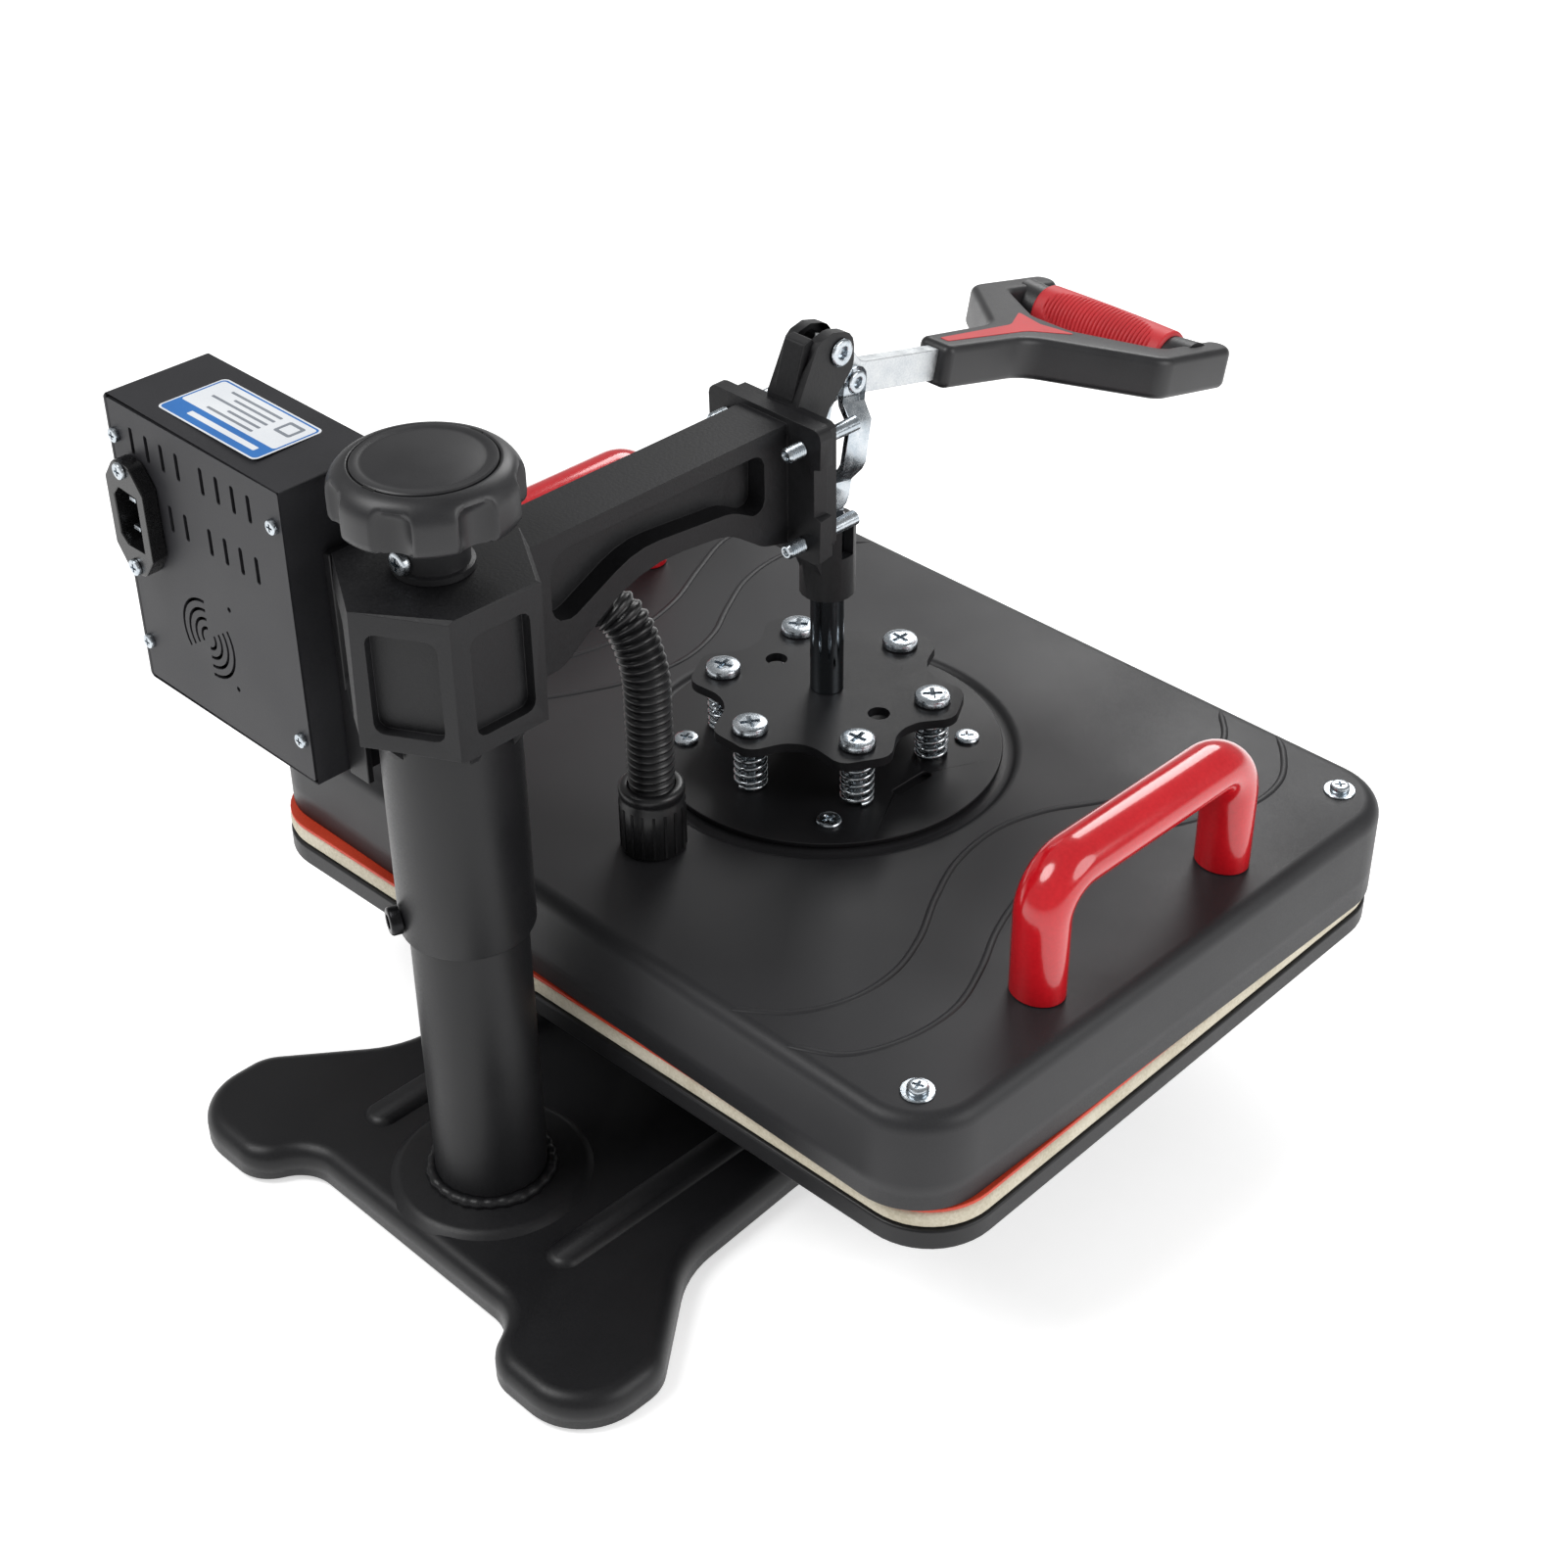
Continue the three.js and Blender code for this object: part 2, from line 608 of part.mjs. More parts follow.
function armCasting() {
  const beam = acrossX(armProfile(), -ARM_HALF_WIDTH, ARM_HALF_WIDTH);
  const flange = acrossY(flangeOutline(), FLANGE_REAR - FLANGE_THICK, FLANGE_REAR);
  const socketR = COLUMN_R + SLEEVE_WALL + 2 * GAP;
  const socket = bar(socketR, [0, POST_Y, HEAD_BOTTOM - 20], [0, POST_Y, HEAD_SOCKET_TOP], 24);
  const nest = bar(COLLAR_R + 2 + GAP, [0, POST_Y, HEAD_SOCKET_TOP - 1], [0, POST_Y, ringTop], 24);
  const bore = bar(SCREW_R + 1.2, [0, POST_Y, ringTop - 1], [0, POST_Y, HEAD_TOP + 2], 20);
  const holes = clampHoles(FLANGE_REAR - 12, FLANGE_REAR + 12);
  const web = ARM_WEB / 2;
  const pockets = [armPocket(web, ARM_HALF_WIDTH + 1), armPocket(-ARM_HALF_WIDTH - 1, -web)];
  const body = join(...headSolids(), beam, flange);
  add("arm_casting", cut(body, socket, nest, bore, ...holes, ...headPockets(), ...pockets), CASTING);
}

const screwAngle = THREE.MathUtils.degToRad(68);
const screwZ = SLEEVE_BOTTOM + SLEEVE_SCREW_UP;
const sleeveIn = COLUMN_R + GAP;
const sleeveOut = COLUMN_R + GAP + SLEEVE_WALL;
const radial = (r, z) => [r * Math.cos(screwAngle), POST_Y + r * Math.sin(screwAngle), z];

function swingSleeve() {
  const top = HEAD_SOCKET_TOP - GAP;
  const section = [
    [sleeveIn, SLEEVE_BOTTOM], [sleeveOut - 0.8, SLEEVE_BOTTOM], [sleeveOut, SLEEVE_BOTTOM + 0.8],
    [sleeveOut, top], [sleeveIn, top], [sleeveIn, SLEEVE_BOTTOM],
  ];
  const wall = turned(section, 0, POST_Y, 24);
  const hole = bar(3.1, radial(sleeveIn - 6, screwZ), radial(sleeveOut + 6, screwZ), 16);
  add("swing_sleeve", cut(wall, hole), POWDER);
}

function sleeveScrew() {
  const shank = bar(2.8, radial(sleeveIn + 0.2, screwZ), radial(sleeveOut + 1, screwZ), 16);
  const head = bar(5.6, radial(sleeveOut + GAP, screwZ), radial(sleeveOut + 4.6, screwZ), 16);
  const hex = bar(2.6, radial(sleeveOut + 2.4, screwZ), radial(sleeveOut + 6, screwZ), 6);
  add("sleeve_screw", cut(join(shank, head), hex), STEEL);
}

// ---------------------------------------------------------------- control box
function boxBracket() {
  const flat = (HEAD_R * Math.sqrt(3)) / 2;
  const plate = box(flat + GAP, BOX_X[0] - GAP, 184, 212, BOX_Z[0], HEAD_TOP - 2);
  const fin = box(26.4, flat + 1, 209.4, 212, BOX_Z[0], HEAD_BOTTOM - GAP);
  add("box_bracket", join(plate, fin), POWDER);
}

function boxShell() {
  const t = BOX_SHEET;
  const outer = acrossY(rectangle(...BOX_X, ...BOX_Z, 1.8), ...BOX_Y);
  const room = box(BOX_X[0] + t, BOX_X[1] - t, BOX_Y[0] + t, BOX_Y[1] + 5, BOX_Z[0] + t, BOX_Z[1] - t);
  const [x0, x1] = PANEL_X;
  const [z0, z1] = PANEL_Z;
  const opening = box(x0 + 4, x1 - 4, BOX_Y[0] - 5, BOX_Y[0] + 5, z0 + 4, z1 - 4);
  const [hx, hz] = BOX_GLAND;
  const hose = bar(HOSE_R, [hx, BOX_Y[0] - 5, hz], [hx, BOX_Y[0] + 5, hz], 20);
  add("box_shell", cut(outer, room, opening, hose), POWDER);
}

function ventSlots() {
  const [w, h] = SLOT_SIZE;
  return SLOT_ROWS.flatMap(([z, skip]) =>
    [0, 1, 2, 3, 4, 5, 6, 7].slice(skip).map((k) => {
      const x = BOX_X[1] - 15 - k * SLOT_PITCH - (k > 3 ? 5.5 : 0);
      return rectangle(x - w / 2, x + w / 2, z, z + h, 1);
    }),
  );
}

function boxBackCover() {
  const d = BOX_SHEET + GAP;
  const [x, z] = INLET;
  const hx = INLET_BODY[0] + GAP;
  const hz = INLET_BODY[1] + GAP;
  const inlet = rectangle(x - hx, x + hx, z - hz, z + hz, 2);
  const outline = rectangle(BOX_X[0] + d, BOX_X[1] - d, BOX_Z[0] + d, BOX_Z[1] - d, 1);
  const rear = BOX_Y[1] - 0.2;
  add("box_back_cover", acrossY(outline, rear - BOX_SHEET, rear, [inlet, ...ventSlots()]), POWDER);
}

function powerInlet() {
  const [x, z] = INLET;
  const y = BOX_Y[1] - 0.2 + GAP;
  const [w, h] = INLET_HALF;
  const [bw, bh] = INLET_BODY;
  const ear = rounded([
    [x - 5, z - h, 5], [x + 5, z - h, 5], [x + w, z - bh, 3], [x + w, z + bh, 3],
    [x + 5, z + h, 5], [x - 5, z + h, 5], [x - w, z + bh, 3], [x - w, z - bh, 3],
  ]);
  const flange = acrossY(ear, y, y + 6.5);
  const body = acrossY(rectangle(x - bw, x + bw, z - bh, z + bh, 2), y - 15, y + 1);
  const socket = rounded([
    [x - 7.5, z - 12, 1], [x + 3.5, z - 12, 1], [x + 7.5, z - 8, 1],
    [x + 7.5, z + 8, 1], [x + 3.5, z + 12, 1], [x - 7.5, z + 12, 1],
  ]);
  add("power_inlet", cut(join(flange, body), acrossY(socket, y - 9, y + 9)), PLASTIC);
}

function frontPanel() {
  const [x0, x1] = PANEL_X;
  const [z0, z1] = PANEL_Z;
  const y1 = BOX_Y[0] - GAP;
  const holes = [
    rectangle(...WINDOW, 1),
    ...BUTTON_X.map((x) => circle(x, BUTTON_Z, BUTTON_R + GAP)),
    rectangle(ROCKER[0] - ROCKER_HALF[0] - 0.5, ROCKER[0] + ROCKER_HALF[0] + 0.5,
      ROCKER[1] - ROCKER_HALF[1] - 0.5, ROCKER[1] + ROCKER_HALF[1] + 0.5, 0.6),
  ];
  add("front_panel", acrossY(rectangle(x0, x1, z0, z1, 4), y1 - PANEL_THICK, y1, holes), PLASTIC);
}

function panelParts() {
  const face = BOX_Y[0] - GAP - PANEL_THICK;
  const [wx0, wx1, wz0, wz1] = WINDOW;
  add("display_window", box(wx0 + GAP, wx1 - GAP, face + 0.5, face + 6, wz0 + GAP, wz1 - GAP), GLASSY);
  BUTTON_X.forEach((x, k) => {
    const cap = bar(BUTTON_R, [x, face - 1.6, BUTTON_Z], [x, face + 4, BUTTON_Z], 16);
    add(`button_${k + 1}`, cap, PLASTIC);
  });
  const [rx, rz] = ROCKER;
  const [rw, rh] = ROCKER_HALF;
  const side = rounded([
    [face + 4, 1.2 - rh, 0], [face - 2.2, 0.4 - rh, 0.8], [face - 1, 0, 6],
    [face - 2.2, rh - 0.4, 0.8], [face + 4, rh - 1.2, 0],
  ]);
  const rocker = acrossX(side, rx - rw + GAP, rx + rw - GAP);
  rocker.translate(0, -face - 2, 0).rotateX(ROCKER_TILT).translate(0, face + 2, rz);
  add("power_rocker", rocker, RED_GLOSS);
  add("control_board", box(78, 134, 200, 201.6, 214, 312), BOARD);
}

// ---------------------------------------------------------------- toggle
function toggleBody() {
  const plateY = [22, FLANGE_REAR - FLANGE_THICK - GAP];
  const plate = acrossY(rectangle(-26, 26, 245, 298, 3), ...plateY);
  const [py, pz] = PIVOT;
  const side = rounded([
    [24, 266, 0], [25, 300, 3], [14, 321.5, 4], [6, 323.5, 5], [py - 7.5, pz + 6, 7], [py - 7.5, pz - 8, 7],
    [9, 291, 6], [14, 266, 3],
  ]);
  const inner = BAR_THICK / 2 + 0.7;
  const outer = inner + CHEEK_THICK;
  const cheeks = [acrossX(side, -outer, -inner), acrossX(side, inner, outer)];
  const web = rounded([[24, 266, 0], [25, 300, 3], [15.5, 320, 2], [18.4, 300, 0], [18.4, 266, 0]]);
  const back = acrossX(web, -inner - 1, inner + 1);
  const guide = bar(GUIDE_R, [0, 0, GUIDE_Z[0]], [0, 0, GUIDE_Z[1]], 20);
  const profile = [[4, GUIDE_Z[0] + 1, 0], [24, 246, 0], [24, 268, 0], [9, GUIDE_Z[1], 3], [4, GUIDE_Z[1], 0]];
  const brace = rounded(profile);
  const rib = acrossX(brace, -6, 6);
  const bore = bar(ROD_R + FIT, [0, 0, GUIDE_Z[0] - 5], [0, 0, GUIDE_Z[1] + 5], 20);
  const notch = box(-GUIDE_R - 2, GUIDE_R + 2, -3.2, 3.2, GUIDE_Z[1] - 13, GUIDE_Z[1] + 2);
  const hole = bar(PIVOT_R + FIT, [-12, py, pz], [12, py, pz], 18);
  const body = join(plate, ...cheeks, back, guide, rib);
  add("toggle_body", cut(body, bore, notch, hole, ...clampHoles(15, FLANGE_REAR - 2)), CASTING);
}

function pin(name, at, r, half, headR, headH) {
  const [y, z] = at;
  const shank = bar(r, [-half - headH, y, z], [half + headH, y, z], 20);
  const heads = [-1, 1].map((s) => bar(headR, [s * half, y, z], [s * (half + headH), y, z], 20));
  add(name, join(shank, ...heads), ZINC);
}

// A point at distance s along the lever and height n above its centre line.
function onLever(s, n) {
  const c = Math.cos(LEVER_SLOPE);
  const k = Math.sin(LEVER_SLOPE);
  return [CRANK[0] - (s + CRANK[0]) * c - n * k, CRANK[1] - (s + CRANK[0]) * k + n * c];
}

function leverBar() {
  const h = BAR_HEIGHT / 2;
  const [py, pz] = PIVOT;
  const outline = rounded([
    [...onLever(-9, -h), 4], [...onLever(BAR_END, -h), 2],
    [...onLever(BAR_END, h), 2], [...onLever(14, h), 6],
    [py - 8.4, pz + 1, 6], [py + 1, pz + 7.6, 6], [py + 8.6, pz - 1, 5], [...onLever(-11, h - 2), 3],
  ]);
  const body = acrossX(outline, -BAR_THICK / 2, BAR_THICK / 2);
  const pivot = bar(PIVOT_R + FIT, [-9, py, pz], [9, py, pz], 20);
  const crank = bar(LINK_PIN_R + FIT, [-9, ...CRANK], [9, ...CRANK], 20);
  add("lever_bar", cut(body, pivot, crank), ALUMINIUM);
}

// Moves a piece drawn flat (x across, y forward along the lever, z up) onto the lever.
function ontoLever(g) {
  const forward = new THREE.Vector3(0, -Math.cos(LEVER_SLOPE), -Math.sin(LEVER_SLOPE));
  const up = new THREE.Vector3(0, -Math.sin(LEVER_SLOPE), Math.cos(LEVER_SLOPE));
  const basis = new THREE.Matrix4().makeBasis(new THREE.Vector3(-1, 0, 0), forward, up);
  const [y, z] = onLever(0, 0);
  return g.applyMatrix4(basis).translate(0, y, z);
}

function handleFrame() {
  const w = FRAME_HALF;
  const a = FRAME_ARM;
  const crotch = FRAME_SHOULDER - 9;
  const half = [
    [7.5, STEM_START, 2], [10.5, FRAME_SPREAD, 14], [w, FRAME_SHOULDER, 11], [w, FRAME_END, 7],
    [w - a, FRAME_END, 4.5], [w - a, FRAME_SHOULDER + 12, 7], [10, crotch, 10],
  ];
  const outline = rounded([...half, ...[...half].reverse().map(([x, y, r]) => [-x, y, r])]);
  const t = FRAME_THICK / 2;
  const edges = [[1.5, -t], [0, -t + 1.5], [0, t - 1.5], [1.5, t]];
  const plate = loft(edges.map(([d, z]) => level(inset(outline, d), z)));
  const core = bar(GRIP_CORE_R, [-w + a / 2, GRIP_AT, 0], [w - a / 2, GRIP_AT, 0], 18);
  const b = BAR_THICK / 2 + GAP;
  const h = BAR_HEIGHT / 2 + GAP;
  const pocket = box(-b, b, STEM_START - 5, BAR_END + GAP, -h, h);
  add("handle_frame", ontoLever(cut(join(plate, core), pocket)), PLASTIC);
}

function gripSleeve() {
  const r = GRIP_CORE_R + GAP;
  const half = [
    [GRIP_R, 0], [GRIP_R - 0.4, GRIP_HALF * 0.5], [GRIP_R - 1.2, GRIP_HALF - 1.5], [GRIP_R - 2.2, GRIP_HALF],
  ];
  const mirrored = [...half.slice(1)].reverse().map(([x, z]) => [x, -z]);
  const profile = [[r, -GRIP_HALF], ...mirrored, ...half, [r, GRIP_HALF], [r, -GRIP_HALF]];
  const g = turned(profile, 0, 0, 20).rotateY(Math.PI / 2).translate(0, GRIP_AT, 0);
  add("grip_sleeve", ontoLever(g), RED_GRIP);
}

// One joggled strip; sign is the side it stands on.
function toggleLink(name, sign) {
  const [ty, tz] = CRANK;
  const [by, bz] = TOGGLE_FOOT;
  const length = Math.hypot(ty - by, tz - bz);
  const x0 = BAR_THICK / 2 + GAP;
  const j = LINK_JOGGLE;
  const t = LINK_THICK;
  const strip = rounded([
    [x0, -8, 0], [x0 + t, -8, 0], [x0 + t, 7.4, 2], [x0 + t + j, 14, 5], [x0 + t + j, length - 14, 5],
    [x0 + t, length - 7.4, 2], [x0 + t, length + 8, 0], [x0, length + 8, 0], [x0, length - 8.6, 4],
    [x0 + j, length - 15.2, 3], [x0 + j, 15.2, 3], [x0, 8.6, 4],
  ]);
  const w = LINK_WIDTH / 2;
  const blank = acrossY(strip, -w, w);
  const plan = acrossX(rectangle(-w, w, -w, length + w, w - 0.4), x0 - 1, x0 + t + j + 1);
  const rivet = bar(4.2, [x0 + 1, 0, 0], [x0 + t + 1.2, 0, 0], 18);
  const hole = bar(LINK_PIN_R + FIT, [x0 - 2, 0, length], [x0 + t + 8, 0, length], 20);
  const g = cut(join(common(blank, plan), rivet), hole);
  if (sign < 0) g.scale(-1, 1, 1);
  g.rotateX(Math.atan2(by - ty, tz - bz)).translate(0, by, bz);
  add(name, g, ZINC);
}

function plungerRod() {
  const [y, z] = TOGGLE_FOOT;
  const low = SPIDER_Z[1] + GAP;
  const shoulder = z - LINK_WIDTH / 2 - OPEN_PIVOT_ROOM;
  const shaft = bar(ROD_R, [0, 0, low], [0, 0, shoulder], 20);
  const flat = rounded([
    [y - 6, shoulder - 4, 0], [y + 6, shoulder - 4, 0], [y + 6, z + 6, 5.8], [y - 6, z + 6, 5.8],
  ]);
  const tongue = acrossX(flat, -BAR_THICK / 2, BAR_THICK / 2);
  add("plunger_rod", join(shaft, tongue), STEEL);
}

// ---------------------------------------------------------------- spider, bolts and springs
const boltAngle = (k) => ((k + 0.5) * 2 * Math.PI) / BOLT_COUNT;
const onCircle = (r, a) => [r * Math.cos(a), r * Math.sin(a)];

function spiderPlate() {
  const points = [];
  for (let k = 0; k < BOLT_COUNT; k++) {
    const a = boltAngle(k);
    const half = Math.PI / BOLT_COUNT;
    points.push([...onCircle(40.5, a - half), 16]);
    points.push([...onCircle(57.5, a - half * 0.36), 8]);
    points.push([...onCircle(57.5, a + half * 0.36), 8]);
  }
  const bolts = Array.from({ length: BOLT_COUNT }, (_, k) => onCircle(BOLT_CIRCLE_R, boltAngle(k)));
  const holes = [
    ...bolts.map(([x, y]) => circle(x, y, BOLT_R + 0.5)),
    circle(29.5, 0, 4.6),
    circle(-29.5, 0, 4.6),
  ];
  add("spider_plate", upright(rounded(points), ...SPIDER_Z, holes), POWDER);
}

function boltsAndSprings() {
  const discTop = COVER_Z[1] + GAP + DISC_THICK;
  const seat = SPIDER_Z[1] + GAP;
  for (let k = 0; k < BOLT_COUNT; k++) {
    const [x, y] = onCircle(BOLT_CIRCLE_R, boltAngle(k));
    const profile = [
      [0, discTop + GAP], [BOLT_R, discTop + GAP], [BOLT_R, seat], [BOLT_HEAD_R, seat],
      [BOLT_HEAD_R, seat + BOLT_HEAD_H - 1],
      [BOLT_HEAD_R - 1.2, seat + BOLT_HEAD_H], [0, seat + BOLT_HEAD_H],
    ];
    add(`float_bolt_${k + 1}`, turned(profile, x, y, 14), ZINC);
    add(`float_spring_${k + 1}`, helix(x, y, discTop + GAP, SPIDER_Z[0] - GAP), ZINC);
  }
}

function helix(x, y, z0, z1) {
  const turns = 5;
  const steps = 8 * turns;
  const rise = z1 - z0 - 2 * SPRING_WIRE;
  const rings = [];
  for (let s = 0; s <= steps; s++) {
    const a = (2 * Math.PI * turns * s) / steps;
    const out = new THREE.Vector3(Math.cos(a), Math.sin(a), 0);
    const p = new THREE.Vector3(x, y, z0 + SPRING_WIRE + (rise * s) / steps).addScaledVector(out, SPRING_R);
    const q = SPRING_WIRE;
    const section = [[q, 0], [-q / 2, 0.87 * q], [-q / 2, -0.87 * q]];
    rings.push(section.map(([u, v]) => p.clone().addScaledVector(out, u).setZ(p.z + v)));
  }
  return loft(rings);
}

// ---------------------------------------------------------------- heated platen
function platenCover() {
  const outline = centred(...COVER_HALF, COVER_CORNER_R, PLATEN_Y);
  const pan = tray(outline, ...COVER_Z, COVER_SHEET, COVER_EDGE_R);
  const top = COVER_Z[1];
  const groove = turned(tube(DISC_R + 0.6, DISC_R + 6, top - 1.1, top + 3), 0, 0, 32);
  const wiring = bar(8, [0, PLATEN_GLAND_Y, top - 8], [0, PLATEN_GLAND_Y, top + 4], 24);
  add("platen_cover", cut(pan, groove, wiring), POWDER);
}

function heaterStack() {
  const room = COVER_SHEET + 0.8;
  const [hx, hy] = COVER_HALF;
  const face = centred(hx - room, hy - room, COVER_CORNER_R - room, PLATEN_Y);
  const top = heaterFace + HEATER_THICK;
  add("heater_plate", slab(face, heaterFace, top, 1), ALUMINIUM);
  const woolTop = COVER_Z[1] - COVER_SHEET - 8;
  const wool = upright(centred(hx - 8, hy - 8, COVER_CORNER_R - 8, PLATEN_Y), top + GAP, woolTop);
  add("insulation", wool, WOOL);
}

function mountDisc() {
  const z0 = COVER_Z[1] + GAP;
  const screws = [1, 3, 5, 7].map((k) => circle(...onCircle(DISC_SCREW_R, (k * Math.PI) / 4), 2.4, 10));
  const slot = rectangle(-49.5, -45, -12, 9, 2.2);
  add("mount_disc", upright(circle(0, 0, DISC_R, 36), z0, z0 + DISC_THICK, [...screws, slot]), POWDER);
}

function pullHandle(name, x) {
  const [a, b] = PULL_SECTION;
  const z0 = COVER_Z[1] + GAP;
  const top = COVER_Z[1] + PULL_HEIGHT - b;
  const y0 = PLATEN_Y - PULL_FEET;
  const y1 = PLATEN_Y + PULL_FEET;
  const bend = (cy, from) => Array.from({ length: 5 }, (_, k) => {
    const t = from - ((Math.PI / 2) * k) / 4;
    return new THREE.Vector3(x, cy + PULL_BEND * Math.cos(t), top - PULL_BEND + PULL_BEND * Math.sin(t));
  });
  const path = [
    new THREE.Vector3(x, y0, z0), new THREE.Vector3(x, y0, z0 + 12),
    ...bend(y0 + PULL_BEND, Math.PI), ...bend(y1 - PULL_BEND, Math.PI / 2),
    new THREE.Vector3(x, y1, z0 + 12), new THREE.Vector3(x, y1, z0),
  ];
  add(name, swept(oval(a, b, 14), path, new THREE.Vector3(1, 0, 0)), RED_GLOSS);
}

// ---------------------------------------------------------------- wiring conduit
function glandProfile(length) {
  const rIn = HOSE_R + HOSE_ROOM;
  return [
    [rIn, 0], [GLAND_R - 0.8, 0], [GLAND_R, 0.8], [GLAND_R, length - 6],
    [GLAND_R - 0.8, length - 5], [GLAND_R - 0.8, length - 3.6],
    [GLAND_R, length - 2.6], [GLAND_R - 0.6, length], [rIn, length], [rIn, 0],
  ];
}

function glands() {
  const platenGland = turned(glandProfile(30), 0, PLATEN_GLAND_Y, 20).translate(0, 0, COVER_Z[1] + GAP);
  add("platen_gland", platenGland, PLASTIC);
  const boxGland = turned(glandProfile(17), 0, 0, 20).rotateX(Math.PI / 2);
  add("box_gland", boxGland.translate(BOX_GLAND[0], BOX_Y[0] - GAP, BOX_GLAND[1]), PLASTIC);
}

function conduit() {
  const [bx, bz] = BOX_GLAND;
  const y = PLATEN_GLAND_Y;
  const points = [
    [bx, BOX_Y[0] - 2, bz], [bx, 164, bz], [bx - 3, 146, bz + 4],
    [43, 127, 234], [27, 111, 240], [11, 102, 234],
    [2, y, 215], [0, y, 190], [0, y, 165], [0, y, COVER_Z[1] + 11],
  ];
  const curve = new THREE.CatmullRomCurve3(points.map((p) => new THREE.Vector3(...p)), false, "centripetal");
  const path = curve.getSpacedPoints(22);
  const side = new THREE.Vector3(0.8, -0.55, 0);
  add("conduit", swept(oval(HOSE_R - 0.2, HOSE_R - 0.2, 12), path, side), PLASTIC);
}

basePlate();
feet();
column();
columnNut();
platenStand();
lowerStack();
thrustRing();
pressureScrew();
pressureKnob();
knobCap();
armCasting();
swingSleeve();
sleeveScrew();
boxBracket();
boxShell();
boxBackCover();
powerInlet();
frontPanel();
panelParts();
toggleBody();
pin("pivot_pin", PIVOT, PIVOT_R, BAR_THICK / 2 + 0.7 + CHEEK_THICK + GAP, 5.6, 1.3);
leverBar();
pin("upper_link_pin", CRANK, LINK_PIN_R, BAR_THICK / 2 + LINK_THICK + 2 * GAP, 4.8, 1.3);
handleFrame();
gripSleeve();
toggleLink("link_left", -1);
toggleLink("link_right", 1);
plungerRod();
spiderPlate();
boltsAndSprings();
platenCover();
heaterStack();
mountDisc();
pullHandle("pull_handle_left", -PULL_X);
pullHandle("pull_handle_right", PULL_X);
glands();
conduit();

// The origin sits under the middle of the press, on the floor.
const bounds = new THREE.Box3().setFromObject(root);
const middle = bounds.getCenter(new THREE.Vector3());
root.position.set(-middle.x, -middle.y, -bounds.min.z);

export default root;
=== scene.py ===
import math

import bmesh
import bpy
from mathutils import Matrix, Vector


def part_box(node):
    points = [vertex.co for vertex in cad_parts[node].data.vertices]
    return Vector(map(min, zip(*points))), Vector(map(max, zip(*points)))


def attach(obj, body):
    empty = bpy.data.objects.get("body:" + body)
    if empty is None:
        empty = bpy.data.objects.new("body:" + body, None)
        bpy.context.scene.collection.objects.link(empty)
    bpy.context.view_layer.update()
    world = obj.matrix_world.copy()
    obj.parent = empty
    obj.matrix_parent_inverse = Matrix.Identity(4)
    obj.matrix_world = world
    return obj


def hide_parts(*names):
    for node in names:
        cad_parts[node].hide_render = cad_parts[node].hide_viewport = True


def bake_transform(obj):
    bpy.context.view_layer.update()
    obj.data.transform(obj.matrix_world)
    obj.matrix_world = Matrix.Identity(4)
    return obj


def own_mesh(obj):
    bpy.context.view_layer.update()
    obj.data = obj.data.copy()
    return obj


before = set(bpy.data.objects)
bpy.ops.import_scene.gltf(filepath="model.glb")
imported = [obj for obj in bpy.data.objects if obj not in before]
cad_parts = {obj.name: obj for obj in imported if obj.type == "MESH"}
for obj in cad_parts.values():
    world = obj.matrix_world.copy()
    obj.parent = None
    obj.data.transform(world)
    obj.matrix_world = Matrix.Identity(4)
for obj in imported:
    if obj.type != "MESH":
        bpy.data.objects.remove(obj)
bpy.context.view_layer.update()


# ------------------------------------------------------------------ camera
# PRESS takes the press's own millimetres, measured from the plunger rod's axis and the floor, to
# the shared frame. The camera stands behind the press, on the operator's left, and looks down.
rod_low, rod_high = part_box("plunger_rod")
PRESS = (
    Matrix.Translation(((rod_low.x + rod_high.x) / 2, (rod_low.y + rod_high.y) / 2, 0))
    @ Matrix.Scale(0.001, 4)
)
Z_AXIS = Vector((0, 0, 1))

EYE_AT = (-622.86, 646.52, 745.72)
heading, dip, roll = math.radians(-44.915), math.radians(35.343), math.radians(-0.402)
eye = bpy.data.cameras.new("camera")
eye.sensor_width = 36
eye.lens = 59.34
eye.clip_end = 100
camera = bpy.data.objects.new("camera", eye)
bpy.context.collection.objects.link(camera)
forward = Vector((math.cos(dip) * math.cos(heading), math.cos(dip) * math.sin(heading), -math.sin(dip)))
level_right = forward.cross(Z_AXIS).normalized()
level_up = level_right.cross(forward)
right = level_right * math.cos(roll) + level_up * math.sin(roll)
up = level_up * math.cos(roll) - level_right * math.sin(roll)
camera.matrix_world = (
    Matrix.Translation(PRESS @ Vector(EYE_AT))
    @ Matrix((right, up, -forward)).transposed().to_4x4()
)
bpy.context.scene.camera = camera


# ------------------------------------------------------------------ wiring conduit
# Corrugated black nylon hose, 19 mm across, that carries the heater's leads from the control
# box to the heated platen. It is moulded in rings that let it bend, and both ends are gripped
# by a gland. The platen end rises with the plunger; here the hose is built in one fixed shape.
def linear(code):
    """An sRGB hex colour as the linear colour that a shader takes."""
    channels = [int(code[i:i + 2], 16) / 255 for i in (1, 3, 5)]
    return tuple(c / 12.92 if c <= 0.04045 else ((c + 0.055) / 1.055) ** 2.4 for c in channels) + (1.0,)


def node(tree, kind, inputs=None, **settings):
    """Adds a node with its settings; an input is a value, or a socket to link."""
    made = tree.nodes.new(kind)
    for name, value in settings.items():
        setattr(made, name, value)
    for name, value in (inputs or {}).items():
        if isinstance(value, bpy.types.NodeSocket):
            tree.links.new(value, made.inputs[name])
        else:
            made.inputs[name].default_value = value
    return made


